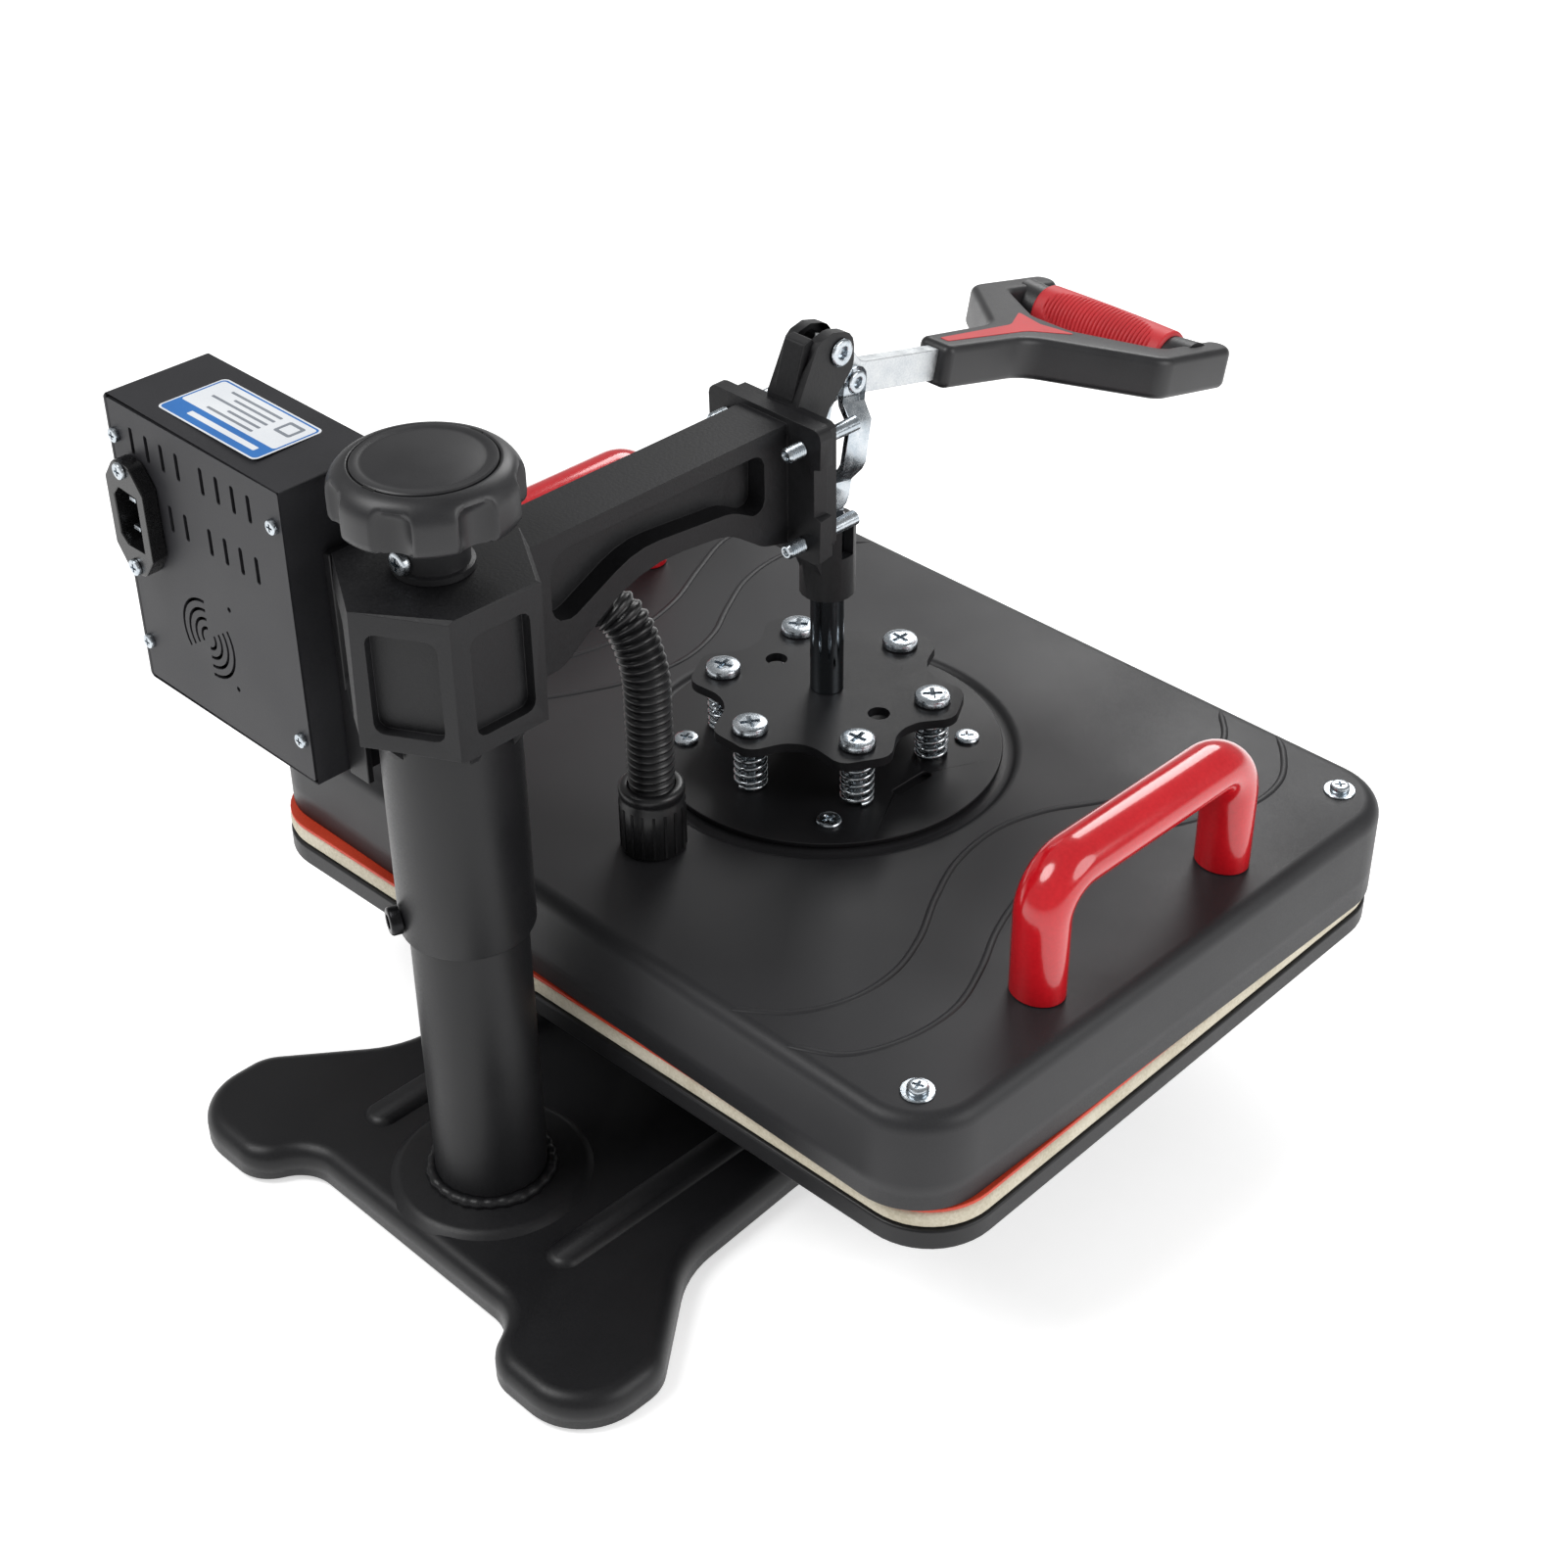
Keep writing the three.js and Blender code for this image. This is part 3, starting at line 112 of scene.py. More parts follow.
def surface(name, light, dark, rough, spread=0.06, grain=0.6, depth=0.02, patch=30, **shader):
    """A finish whose colour and gloss drift over patches and whose grain is a bump; sizes in mm."""
    material = bpy.data.materials.new(name)
    material.use_nodes = True
    tree = material.node_tree
    shade = tree.nodes["Principled BSDF"]
    place = node(tree, "ShaderNodeTexCoord").outputs["Object"]
    clouds = node(tree, "ShaderNodeTexNoise", {"Vector": place, "Scale": 1000 / patch, "Detail": 4.0})
    specks = node(tree, "ShaderNodeTexNoise", {"Vector": place, "Scale": 1000 / grain, "Detail": 2.0})
    heights = {0: clouds.outputs["Fac"], 1: specks.outputs["Fac"]}
    both = node(tree, "ShaderNodeMath", heights, operation="ADD").outputs[0]
    drift = {"Value": both, "From Min": 0.7, "From Max": 1.3}
    share = node(tree, "ShaderNodeMapRange", drift).outputs[0]
    colours = {"Factor": share, "A": linear(dark), "B": linear(light)}
    mixed = node(tree, "ShaderNodeMix", colours, data_type="RGBA")
    gloss = node(tree, "ShaderNodeMapRange", {**drift, "To Min": rough - spread, "To Max": rough + spread})
    relief = {"Height": specks.outputs["Fac"], "Distance": depth / 1000, "Strength": 1.0}
    bump = node(tree, "ShaderNodeBump", relief)
    tree.links.new(mixed.outputs["Result"], shade.inputs["Base Color"])
    tree.links.new(gloss.outputs[0], shade.inputs["Roughness"])
    tree.links.new(bump.outputs[0], shade.inputs["Normal"])
    for socket, value in shader.items():
        shade.inputs[socket.replace("_", " ")].default_value = value
    return material


def put(bm, name, body, material, slot, *replaced, edge=0.0, sharp=35, segments=3, place=PRESS):
    """Makes a piece of a press-frame mesh: merged, facing out, edges rounded, riding on its body."""
    bmesh.ops.remove_doubles(bm, verts=bm.verts, dist=0.002)
    bmesh.ops.recalc_face_normals(bm, faces=bm.faces)
    bmesh.ops.transform(bm, matrix=place, verts=bm.verts)
    mesh = bpy.data.meshes.new(name)
    bm.to_mesh(mesh)
    bm.free()
    mesh.polygons.foreach_set("use_smooth", [True] * len(mesh.polygons))
    mesh.set_sharp_from_angle(angle=math.radians(sharp))
    mesh.materials.append(material)
    piece = bpy.data.objects.new(name, mesh)
    bpy.context.collection.objects.link(piece)
    if edge:
        rounding = piece.modifiers.new("rounded edges", "BEVEL")
        rounding.width = edge / 1000
        rounding.segments = segments
        rounding.limit_method = "ANGLE"
        rounding.angle_limit = math.radians(sharp)
        rounding.harden_normals = True
    if body:
        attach(piece, body)
    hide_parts(*replaced)
    return piece


def bridge(bm, rings, capped=True):
    """Joins a row of edge loops into one closed skin."""
    for one, two in zip(rings, rings[1:]):
        bmesh.ops.bridge_loops(bm, edges=one + two)
    if capped:
        for ring in (rings[0], rings[-1]):
            bmesh.ops.contextual_create(bm, geom=ring)


def tube(bm, path, radius, segments=20, flat=1.0, side=Z_AXIS):
    """Sweeps a ring along a path; radius is a number or a function of the point's index."""
    rings = []
    for k, point in enumerate(path):
        ahead = (path[min(k + 1, len(path) - 1)] - path[max(k - 1, 0)]).normalized()
        across = ahead.cross(side).normalized()
        over = across.cross(ahead)
        r = radius(k) if callable(radius) else radius
        facing = Matrix((across * r * flat, over * r, ahead)).transposed().to_4x4()
        made = bmesh.ops.create_circle(
            bm, segments=segments, radius=1, matrix=Matrix.Translation(point) @ facing
        )
        rings.append(list({e for v in made["verts"] for e in v.link_edges}))
    bridge(bm, rings)


FINE_STEPS = 60  # samples between two route points before they are spaced evenly


def smooth_route(points, spacing):
    """A centripetal Catmull-Rom curve through the points, sampled about every spacing mm."""
    p = [Vector(q) for q in points]
    p = [p[0] * 2 - p[1], *p, p[-1] * 2 - p[-2]]
    fine = []
    for a, b, c, d in zip(p, p[1:], p[2:], p[3:]):
        t1 = (b - a).length ** 0.5
        t2 = t1 + (c - b).length ** 0.5
        t3 = t2 + (d - c).length ** 0.5
        for k in range(FINE_STEPS):
            t = t1 + (t2 - t1) * k / FINE_STEPS
            ab = a.lerp(b, t / t1)
            bc = b.lerp(c, (t - t1) / (t2 - t1))
            cd = c.lerp(d, (t - t2) / (t3 - t2))
            abc = ab.lerp(bc, t / t2)
            bcd = bc.lerp(cd, (t - t1) / (t3 - t1))
            fine.append(abc.lerp(bcd, (t - t1) / (t2 - t1)))
    fine.append(p[-2])
    lengths = [0.0]
    for one, two in zip(fine, fine[1:]):
        lengths.append(lengths[-1] + (two - one).length)
    count = round(lengths[-1] / spacing)
    even, k = [], 0
    for n in range(count + 1):
        want = lengths[-1] * n / count
        while k < len(fine) - 2 and lengths[k + 1] < want:
            k += 1
        even.append(fine[k].lerp(fine[k + 1], (want - lengths[k]) / (lengths[k + 1] - lengths[k])))
    return even, lengths[-1]


HOSE_R = 9.5
HOSE_RING, RING_DEPTH, RING_STEPS = 3.3, 1.5, 6  # pitch and depth of the corrugations, in steps
ROUTE = [
    (56, 179, 221), (56, 164, 221), (53, 146, 225), (43, 127, 234), (27, 111, 240), (11, 102, 234),
    (2, 99, 215), (0, 99, 190), (0, 99, 165), (0, 99, 141),
]
# Nylon 6 conduit: black, semi-gloss, slightly dusty in the valleys.
NYLON = surface("corrugated_nylon", "#1d1d1f", "#131314", 0.36, grain=0.4, depth=0.008, patch=12)
route, hose_length = smooth_route(ROUTE, HOSE_RING / RING_STEPS)


def hose_radius(k):
    valley = (0.5 - 0.5 * math.cos(2 * math.pi * k / RING_STEPS)) ** 1.6
    return HOSE_R - RING_DEPTH * valley


bm = bmesh.new()
tube(bm, route, hose_radius, 28, side=Vector((0.8, -0.55, 0)))
hose = put(bm, "wiring_conduit", None, NYLON, "black_plastic", "conduit", sharp=75)
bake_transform(hose)


# ------------------------------------------------------------------ base plate
# One pressing of 2.2 mm steel sheet with four round lobes, a round boss under the column and two
# stiffening beads. It is powder coated satin black and stands on four rubber feet.
def rounded(corners, step=8):
    """Corners (x, y, radius) as a closed outline, each turned into an arc."""
    out = []
    for k, (x, y, r) in enumerate(corners):
        corner = Vector((x, y))
        u = (Vector(corners[k - 1][:2]) - corner).normalized()
        v = (Vector(corners[(k + 1) % len(corners)][:2]) - corner).normalized()
        angle = u.angle(v)
        if r < 1e-6 or angle > math.pi - 1e-3:
            out.append(corner)
            continue
        centre = corner + (u + v).normalized() * (r / math.sin(angle / 2))
        start = corner + u * (r / math.tan(angle / 2)) - centre
        end = corner + v * (r / math.tan(angle / 2)) - centre
        sweep = math.atan2(start.x * end.y - start.y * end.x, start.dot(end))
        n = max(2, math.ceil(abs(math.degrees(sweep)) / step))
        for s in range(n + 1):
            a = sweep * s / n
            turned_x = start.x * math.cos(a) - start.y * math.sin(a)
            turned_y = start.x * math.sin(a) + start.y * math.cos(a)
            out.append(centre + Vector((turned_x, turned_y)))
    return out


def rectangle(x0, x1, y0, y1, r):
    return rounded([(x0, y0, r), (x1, y0, r), (x1, y1, r), (x0, y1, r)])


def circle(x, y, r, n=32):
    angles = [2 * math.pi * k / n for k in range(n)]
    return [Vector((x + r * math.cos(a), y + r * math.sin(a))) for a in angles]


def ring_of(bm, points, z):
    """The edges of a closed outline at height z."""
    loop = [bm.verts.new((x, y, z)) for x, y in points]
    return [bm.edges.new(pair) for pair in zip(loop, loop[1:] + loop[:1])]


def verts_of(geom):
    return [g for g in geom if isinstance(g, bmesh.types.BMVert)]


def edges_within(geom):
    """The edges of an extrusion that lie wholly in its new ring."""
    made = set(verts_of(geom))
    return [g for g in geom if isinstance(g, bmesh.types.BMEdge) and made.issuperset(g.verts)]


def plate(bm, outline, z0, z1, holes=(), matrix=Matrix.Identity(4)):
    """A flat sheet with holes, from z0 to z1, moved by matrix."""
    edges = []
    for loop in (outline, *holes):
        edges += ring_of(bm, loop, z0)
    if holes:
        made = bmesh.ops.triangle_fill(bm, use_beauty=True, use_dissolve=False, edges=edges)["geom"]
    else:
        made = bmesh.ops.contextual_create(bm, geom=edges)["faces"]
    faces = [g for g in made if isinstance(g, bmesh.types.BMFace)]
    verts = {v for f in faces for v in f.verts}
    top = verts_of(bmesh.ops.extrude_face_region(bm, geom=faces)["geom"])
    bmesh.ops.translate(bm, verts=top, vec=(0, 0, z1 - z0))
    bmesh.ops.transform(bm, matrix=matrix, verts=list(verts) + top)


def turn(bm, profile, matrix=Matrix.Identity(4), steps=64):
    """Spins a profile of (radius, height) round the vertical axis, moved by matrix."""
    before = set(bm.verts)
    points = [bm.verts.new((r, 0, z)) for r, z in profile]
    edges = [bm.edges.new(pair) for pair in zip(points, points[1:])]
    bmesh.ops.spin(
        bm, geom=points + edges, cent=(0, 0, 0), axis=Z_AXIS, angle=2 * math.pi, steps=steps, use_merge=True
    )
    bmesh.ops.transform(bm, matrix=matrix, verts=[v for v in bm.verts if v not in before])


def at(x, y, z=0.0):
    return Matrix.Translation((x, y, z))


UP_TO_FRONT = Matrix.Rotation(math.pi / 2, 4, "X")
UP_TO_REAR = Matrix.Rotation(-math.pi / 2, 4, "X")
UP_TO_SIDE = Matrix.Rotation(math.pi / 2, 4, "Y")


def thicken(piece, thickness):
    """Gives a skin the wall of sheet metal, on its inner side."""
    wall = piece.modifiers.new("sheet steel", "SOLIDIFY")
    wall.thickness = thickness / 1000
    wall.offset = -1


def refined(name, body, material, slot, edge=0.6, sharp=32, segments=3):
    """A copy of a solid's mesh with its flats made whole and its edges rounded."""
    bm = bmesh.new()
    bm.from_mesh(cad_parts[name].data)
    bmesh.ops.remove_doubles(bm, verts=bm.verts, dist=2e-6)
    bmesh.ops.dissolve_limit(bm, angle_limit=math.radians(1), verts=bm.verts, edges=bm.edges)
    return put(
        bm, name + "_finish", body, material, slot, name,
        edge=edge, sharp=sharp, segments=segments, place=Matrix.Identity(4),
    )


# Satin black epoxy powder: fine orange peel about 0.9 mm across, a little lighter where it is thin.
BLACK_SPECULAR = 0.35  # below the usual 0.5, matched to how little the black coats shine
POWDER = surface(
    "satin_black_powder_coat", "#1b1b1d", "#141416", 0.42, grain=0.9, depth=0.014, patch=45,
    Specular_IOR_Level=BLACK_SPECULAR,
)
BASE_HALF, BASE_REAR, BASE_FRONT = 125, 258, -98
BASE_EDGE, BASE_TOP, BASE_ROUND = 3, 17, 7
LOBE_R = 27
POST_Y = 193
waist = (BASE_REAR + BASE_FRONT) / 2
reach = BASE_REAR - waist
quarter = [
    (BASE_HALF - 42, 0, 400), (BASE_HALF - 36, 90, 45), (BASE_HALF, 136, 20),
    (BASE_HALF, reach, LOBE_R), (74, reach, 18), (63, reach - 21, 18),
]
corners = (
    quarter + [(-x, y, r) for x, y, r in reversed(quarter)]
    + [(-x, -y, r) for x, y, r in quarter[1:]] + [(x, -y, r) for x, y, r in reversed(quarter[1:])]
)
bm = bmesh.new()
rim = ring_of(bm, rounded([(x, y + waist, r) for x, y, r in corners], 6), BASE_EDGE)
walls = bmesh.ops.extrude_edge_only(bm, edges=rim)["geom"]
bmesh.ops.translate(bm, verts=verts_of(walls), vec=(0, 0, BASE_TOP - BASE_EDGE))
top_edges = edges_within(walls)
bmesh.ops.contextual_create(bm, geom=top_edges)
bmesh.ops.bevel(
    bm, geom=top_edges, offset=BASE_ROUND, segments=6, profile=0.5, affect="EDGES", material=-1
)
sheet = put(bm, "base_pressing", "base", POWDER, "black_powder_coat", "base_plate")
thicken(sheet, 2.2)

bm = bmesh.new()
low, high = BASE_TOP - 1, BASE_TOP + 2.5
boss = [(42, low), (40.6, 17.2), (39.4, 18.1), (38.2, 19.0), (36.6, high), (0, high)]
turn(bm, boss, at(0, POST_Y), 96)
for x in (-57, 57):
    rings = []
    for d, z in ((0, low), (0.4, 17.1), (1.4, 18.2), (3, high)):
        rings.append(ring_of(bm, rectangle(x - 8 + d, x + 8 - d, 74 + d, 212 - d, 7.6 - d), z))
    bridge(bm, rings, capped=False)
    bmesh.ops.contextual_create(bm, geom=rings[-1])
put(bm, "base_relief", "base", POWDER, "black_powder_coat", sharp=60)

RUBBER = surface("moulded_black_rubber", "#191919", "#101010", 0.75, grain=0.8, depth=0.02)
for n in range(1, 5):
    refined(f"foot_{n}", "base", RUBBER, "black_rubber", edge=0)


# ------------------------------------------------------------------ column
# Steel tube, 45 mm across, welded all round to the boss. The weld is a row of overlapping
# ripples, and the whole is powder coated with the base.
COLUMN_R, COLUMN_BORE, COLUMN_TOP = 22.5, 19.5, 232
BEAD_STEPS = 180
bm = bmesh.new()
foot = BASE_TOP + 2.8
tube_wall = [
    (COLUMN_BORE, foot), (COLUMN_R, foot), (COLUMN_R, COLUMN_TOP - 0.8), (COLUMN_R - 0.8, COLUMN_TOP),
    (COLUMN_BORE, COLUMN_TOP), (COLUMN_BORE, foot),
]
turn(bm, tube_wall, at(0, POST_Y), 96)
put(bm, "column_tube", "base", POWDER, "black_powder_coat", "column")
bm = bmesh.new()
bead = []
for k in range(BEAD_STEPS):
    a = 2 * math.pi * k / BEAD_STEPS
    swell = 0.35 * math.sin(26 * a + 1.4 * math.sin(3 * a)) + 0.3 * math.sin(7 * a)
    round_post = at(0, POST_Y) @ Matrix.Rotation(a, 4, "Z")
    made = bmesh.ops.create_circle(
        bm, segments=12, radius=2.5 + 0.5 * swell,
        matrix=round_post @ at(COLUMN_R + 1.4 + 0.3 * swell, 0, foot + 0.7) @ UP_TO_FRONT,
    )
    bead.append(list({e for v in made["verts"] for e in v.link_edges}))
bridge(bm, bead + bead[:1], capped=False)
put(bm, "weld_bead", "base", POWDER, "black_powder_coat", sharp=80)
OILED_STEEL = surface("oiled_machined_steel", "#8f9498", "#6d7276", 0.3, grain=0.5, depth=0.004, Metallic=1.0)
refined("column_nut", "base", OILED_STEEL, "machined_steel")
refined("platen_stand", "base", POWDER, "black_powder_coat", edge=0.8)


# ------------------------------------------------------------------ lower platen, foam pad and mat
# A flat black coated aluminium plate carries a pad of cream silicone foam, and an orange-red
# silicone mat lies loose on the foam. Plate, pad and mat stand turned by 1.6 degrees.
PLATEN_Y = 5.5
yaw = at(0, PLATEN_Y) @ Matrix.Rotation(math.radians(1.6), 4, "Z")
PLATE_HALF, PAD_HALF, MAT_HALF = (194.5, 148.5), (193.1, 147.1), (193.5, 147.9)
PAD_RINGS, PAD_BELLY, PAD_ROUND = 8, 0.9, 0.7
pad_low, pad_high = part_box("foam_pad")
mat_low, mat_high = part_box("silicone_mat")
lower_low, lower_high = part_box("lower_platen")


def centred(hx, hy, r):
    return rectangle(-hx, hx, -hy, hy, r)


bm = bmesh.new()
plate(bm, centred(*PLATE_HALF, 30), lower_low.z * 1000, lower_high.z * 1000, matrix=yaw)
put(bm, "lower_plate", "base", POWDER, "black_powder_coat", "lower_platen", edge=1.2)

# Open-cell silicone foam: cream, matt, pores about 0.7 mm wide that show on the cut edge.
FOAM = surface("cream_silicone_foam", "#d9d2c0", "#bdb49e", 0.92, grain=1.1, depth=0.25, patch=18)
bm = bmesh.new()
z0, z1 = pad_low.z * 1000, pad_high.z * 1000
rings = []
for k in range(PAD_RINGS + 1):
    t = k / PAD_RINGS
    belly = PAD_BELLY * math.sin(math.pi * t) - (PAD_ROUND if k in (0, PAD_RINGS) else 0)
    rings.append(ring_of(bm, centred(PAD_HALF[0] + belly, PAD_HALF[1] + belly, 29), z0 + (z1 - z0) * t))
bridge(bm, rings)
bmesh.ops.transform(bm, matrix=yaw, verts=bm.verts)
pad = put(bm, "silicone_foam_pad", "base", FOAM, "cream_foam", "foam_pad", sharp=60)

# Cast silicone rubber sheet: orange-red, waxy sheen.
SILICONE = surface("orange_red_silicone_sheet", "#d8482a", "#bc3318", 0.5, grain=0.7, depth=0.01, patch=40)
bm = bmesh.new()
plate(bm, centred(*MAT_HALF, 29), mat_low.z * 1000, mat_high.z * 1000, matrix=yaw)
put(bm, "silicone_sheet", "base", SILICONE, "red_silicone", "silicone_mat", edge=0.4)


# ------------------------------------------------------------------ sleeve and its screw
# The arm swings on this steel sleeve, a sliding fit on the column. A socket-head screw near its
# lower edge keeps it from lifting off. Both are coated black with the casting.
SLEEVE_IN, SLEEVE_OUT = COLUMN_R + 0.3, COLUMN_R + 3.2
SLEEVE_BOTTOM, SLEEVE_TOP = 145, 261
bm = bmesh.new()
turn(
    bm,
    [(SLEEVE_IN, 146), (SLEEVE_IN + 0.8, SLEEVE_BOTTOM), (SLEEVE_OUT - 0.9, SLEEVE_BOTTOM),
     (SLEEVE_OUT - 0.3, 145.3), (SLEEVE_OUT, SLEEVE_BOTTOM + 1), (SLEEVE_OUT, SLEEVE_TOP),
     (SLEEVE_IN, SLEEVE_TOP), (SLEEVE_IN, 146)],
    at(0, POST_Y), 96,
)
put(bm, "sleeve_tube", "arm", POWDER, "black_powder_coat", "swing_sleeve")
BLACK_OXIDE = surface(
    "black_oxide_screw_steel", "#2a2a2c", "#161618", 0.32, grain=0.4, depth=0.01, Metallic=0.8
)
SCREW_TURN = math.radians(68)
screw_place = at(0, POST_Y, SLEEVE_BOTTOM + 8) @ Matrix.Rotation(SCREW_TURN, 4, "Z") @ UP_TO_SIDE
screw_profile = [
    (0, -3), (3, -3), (3, 0.3), (5.6, 0.3), (5.6, 3.6), (5.2, 4.3), (4.6, 4.6), (2.9, 4.6), (2.6, 2.4),
    (0, 2.4),
]
bm = bmesh.new()
turn(bm, [(r, SLEEVE_OUT + h) for r, h in screw_profile], screw_place, 36)
put(bm, "sleeve_socket_screw", "arm", BLACK_OXIDE, "machined_steel", "sleeve_screw")


# ------------------------------------------------------------------ arm casting
# One iron casting: a hexagonal head with a rounded pocket in each face, a beam with a thin web
# between two flanges, and a notched end flange. It is painted matt black over the sand texture.
CASTING = surface(
    "painted_sand_casting", "#1d1d1f", "#131315", 0.5, grain=1.3, depth=0.06, patch=35,
    Specular_IOR_Level=BLACK_SPECULAR,
)
refined("arm_casting", "arm", CASTING, "black_casting", edge=1.0, sharp=34)
refined("toggle_body", "arm", CASTING, "black_casting", edge=0.7, sharp=34)
refined("thrust_ring", "carriage", OILED_STEEL, "machined_steel", edge=0)
bm = bmesh.new()
# An outline (y, z) for a plate that stands across the press.
ON_EDGE = Matrix(((0, 0, 1, 0), (1, 0, 0, 0), (0, 1, 0, 0), (0, 0, 0, 1)))
wall_side = rounded([(25, 300, 0), (18.6, 321.6, 1.5), (13.4, 322.6, 1.2), (12.6, 317, 1), (17, 300, 0)])
plate(bm, wall_side, -5, 5, matrix=ON_EDGE)
put(bm, "toggle_back_wall", "arm", CASTING, "black_casting", edge=0.5)


# ------------------------------------------------------------------ clamp bolts
# Four zinc plated screws hold the toggle body against the arm's end flange. Their threaded ends
# stand out behind the flange, and each end is dished by the thread rolling.
ZINC = surface(
    "bright_zinc_plate", "#d4d9dd", "#a6b0b8", 0.24, 0.1, grain=0.5, depth=0.012, patch=5, Metallic=1.0
)
FLANGE_REAR = 35
THREADS = 9  # crests, 1 mm apart
bm = bmesh.new()
for x in (-20, 20):
    for z in (249, 290):
        profile = [(0, 6), (3.0, 6)]
        for k in range(THREADS):
            y = FLANGE_REAR - 1 + k
            profile += [(2.45, y), (3.1, y + 0.5)]
        profile += [(r, FLANGE_REAR + out) for r, out in ((2.3, 8.6), (1.7, 8.6), (1.2, 7.6), (0, 7.4))]
        turn(bm, profile, at(x, 0, z) @ UP_TO_REAR, 24)
put(bm, "clamp_bolts", "arm", ZINC, "zinc_plate", sharp=50)


# ------------------------------------------------------------------ pressure knob
# Moulded black nylon hand knob with seven finger hollows and a snap-in cap. Its neck is pinned to
# the pressure screw by a zinc pan-head screw, and turning it lifts or lowers the arm.
KNOB_R, CAP_R = 33.5, 25
HOLLOWS, HOLLOW_R, HOLLOW_AT = 7, 8.5, KNOB_R + 3.4  # how many, their radius, their axis from the centre
FIRST_HOLLOW = 0.35  # of a pitch, from the operator's right
HOLLOW_TOP, HOLLOW_FADE = 336.5, 4.5
RIM_BLEND = 1.8
CLEAR = 99  # stands for "no hollow here"
# Glass-filled nylon: charcoal, semi-matt, with a spark-eroded mould texture.
MOULDED = surface("moulded_glass_filled_nylon", "#262628", "#1d1d1f", 0.42, grain=0.5, depth=0.018, patch=16)
bm = bmesh.new()
profile = [
    (0, 324), (8.3, 324), (8.3, 298.3), (14.5, 298.3), (14.5, 300.7), (13, 301.1), (13, 318.4),
    (14, 319.4), (17, 320), (26.5, 320), (27.5, 319.3), (30.5, 319), (32.4, 319.6), (33.3, 321),
    (KNOB_R, 323), (KNOB_R, 326), (KNOB_R, 329), (33.4, 331), (33.1, 332.6), (32.5, 334), (31.7, 335.3),
    (30.6, 336.6), (29.2, 337.7), (27.8, 338.4), (26.6, 338.8), (CAP_R + 0.9, 338.9),
    (CAP_R + 0.5, 338.6), (CAP_R + 0.4, 337.2), (0, 337.2),
]
turn(bm, profile, steps=280)
pitch = 2 * math.pi / HOLLOWS
for v in bm.verts:
    r = math.hypot(v.co.x, v.co.y)
    if r < 20 or v.co.z > 338.5:  # the neck and the cap's seat
        continue
    angle = math.atan2(v.co.y, v.co.x)
    off = (angle - FIRST_HOLLOW * pitch + pitch / 2) % pitch - pitch / 2
    under = HOLLOW_R ** 2 - (HOLLOW_AT * math.sin(off)) ** 2
    wall_r = HOLLOW_AT * math.cos(off) - math.sqrt(under) if under > 0 else CLEAR
    blend = max(0.0, 1 - abs(r - wall_r) / RIM_BLEND) if wall_r < CLEAR else 0
    limit = min(r, wall_r) - 0.35 * blend * blend
    fade = min(1.0, max(0.0, (HOLLOW_TOP - v.co.z) / HOLLOW_FADE))
    fade = fade * fade * (3 - 2 * fade)
    scale = (r + (limit - r) * fade) / r
    v.co.x *= scale
    v.co.y *= scale
bmesh.ops.transform(bm, matrix=at(0, POST_Y), verts=bm.verts)
put(bm, "hand_knob", "knob", MOULDED, "black_plastic", "pressure_knob", sharp=50)
cap_profile = [
    (0, 336.9), (CAP_R, 336.9), (CAP_R, 338.9), (CAP_R - 0.5, 339.4), (CAP_R - 2.4, 339.5),
    (CAP_R - 3.2, 339.15), (CAP_R - 4.4, 339.1), (CAP_R - 5.6, 339.45), (0, 339.9),
]
bm = bmesh.new()
turn(bm, cap_profile, at(0, POST_Y), 128)
put(bm, "snap_cap", "knob", MOULDED, "black_plastic", "knob_cap", sharp=40)
# The cap's two pry notches are not cut: near-black blocks on its rim are painted shade where the notches'
# hollows would be.
bm = bmesh.new()
for a in (math.radians(97), math.radians(277)):
    spot = at(0, POST_Y, 338.75) @ Matrix.Rotation(a, 4, "Z") @ at(CAP_R + 0.2, 0)
    bmesh.ops.create_cube(bm, size=1, matrix=spot @ Matrix.Diagonal((1.6, 5.2, 0.5, 1)))
NOTCH_SHADE = surface("painted_notch_shade", "#060606", "#030303", 0.8, grain=0.6)
put(bm, "cap_notch_shades", "knob", NOTCH_SHADE, "black_plastic")


def cross_screw(bm, matrix, r, h, shank=0.0):
    """A pan-head screw whose top is a disc with a cross cut into it."""
    arm, tip = r * 0.13, r * 0.55
    cross = [
        (tip, -arm), (tip, arm), (arm, arm), (arm, tip), (-arm, tip), (-arm, arm),
        (-tip, arm), (-tip, -arm), (-arm, -arm), (-arm, -tip), (arm, -tip), (arm, -arm),
    ]
    before = set(bm.verts)
    disc = circle(0, 0, r * 0.8, 32)
    rim, slot = ring_of(bm, disc, h), ring_of(bm, cross, h)
    bmesh.ops.triangle_fill(bm, use_beauty=True, use_dissolve=False, edges=rim + slot)
    down = bmesh.ops.extrude_edge_only(bm, edges=slot)["geom"]
    bmesh.ops.translate(bm, verts=verts_of(down), vec=(0, 0, -0.6 * h))
    bmesh.ops.scale(bm, verts=verts_of(down), vec=(0.8, 0.8, 1))
    bmesh.ops.contextual_create(bm, geom=edges_within(down))
    rings = [rim]
    for reach_r, z in ((0.93, 0.88), (1.0, 0.6), (1.0, 0.1), (0.96, 0), (0.45, 0), (0.45, -shank / h)):
        made = bmesh.ops.create_circle(bm, segments=32, radius=r * reach_r, matrix=at(0, 0, z * h))
        rings.append(list({e for v in made["verts"] for e in v.link_edges}))
    bridge(bm, rings, capped=False)
    bmesh.ops.contextual_create(bm, geom=rings[-1])
    bmesh.ops.transform(bm, matrix=matrix, verts=[v for v in bm.verts if v not in before])


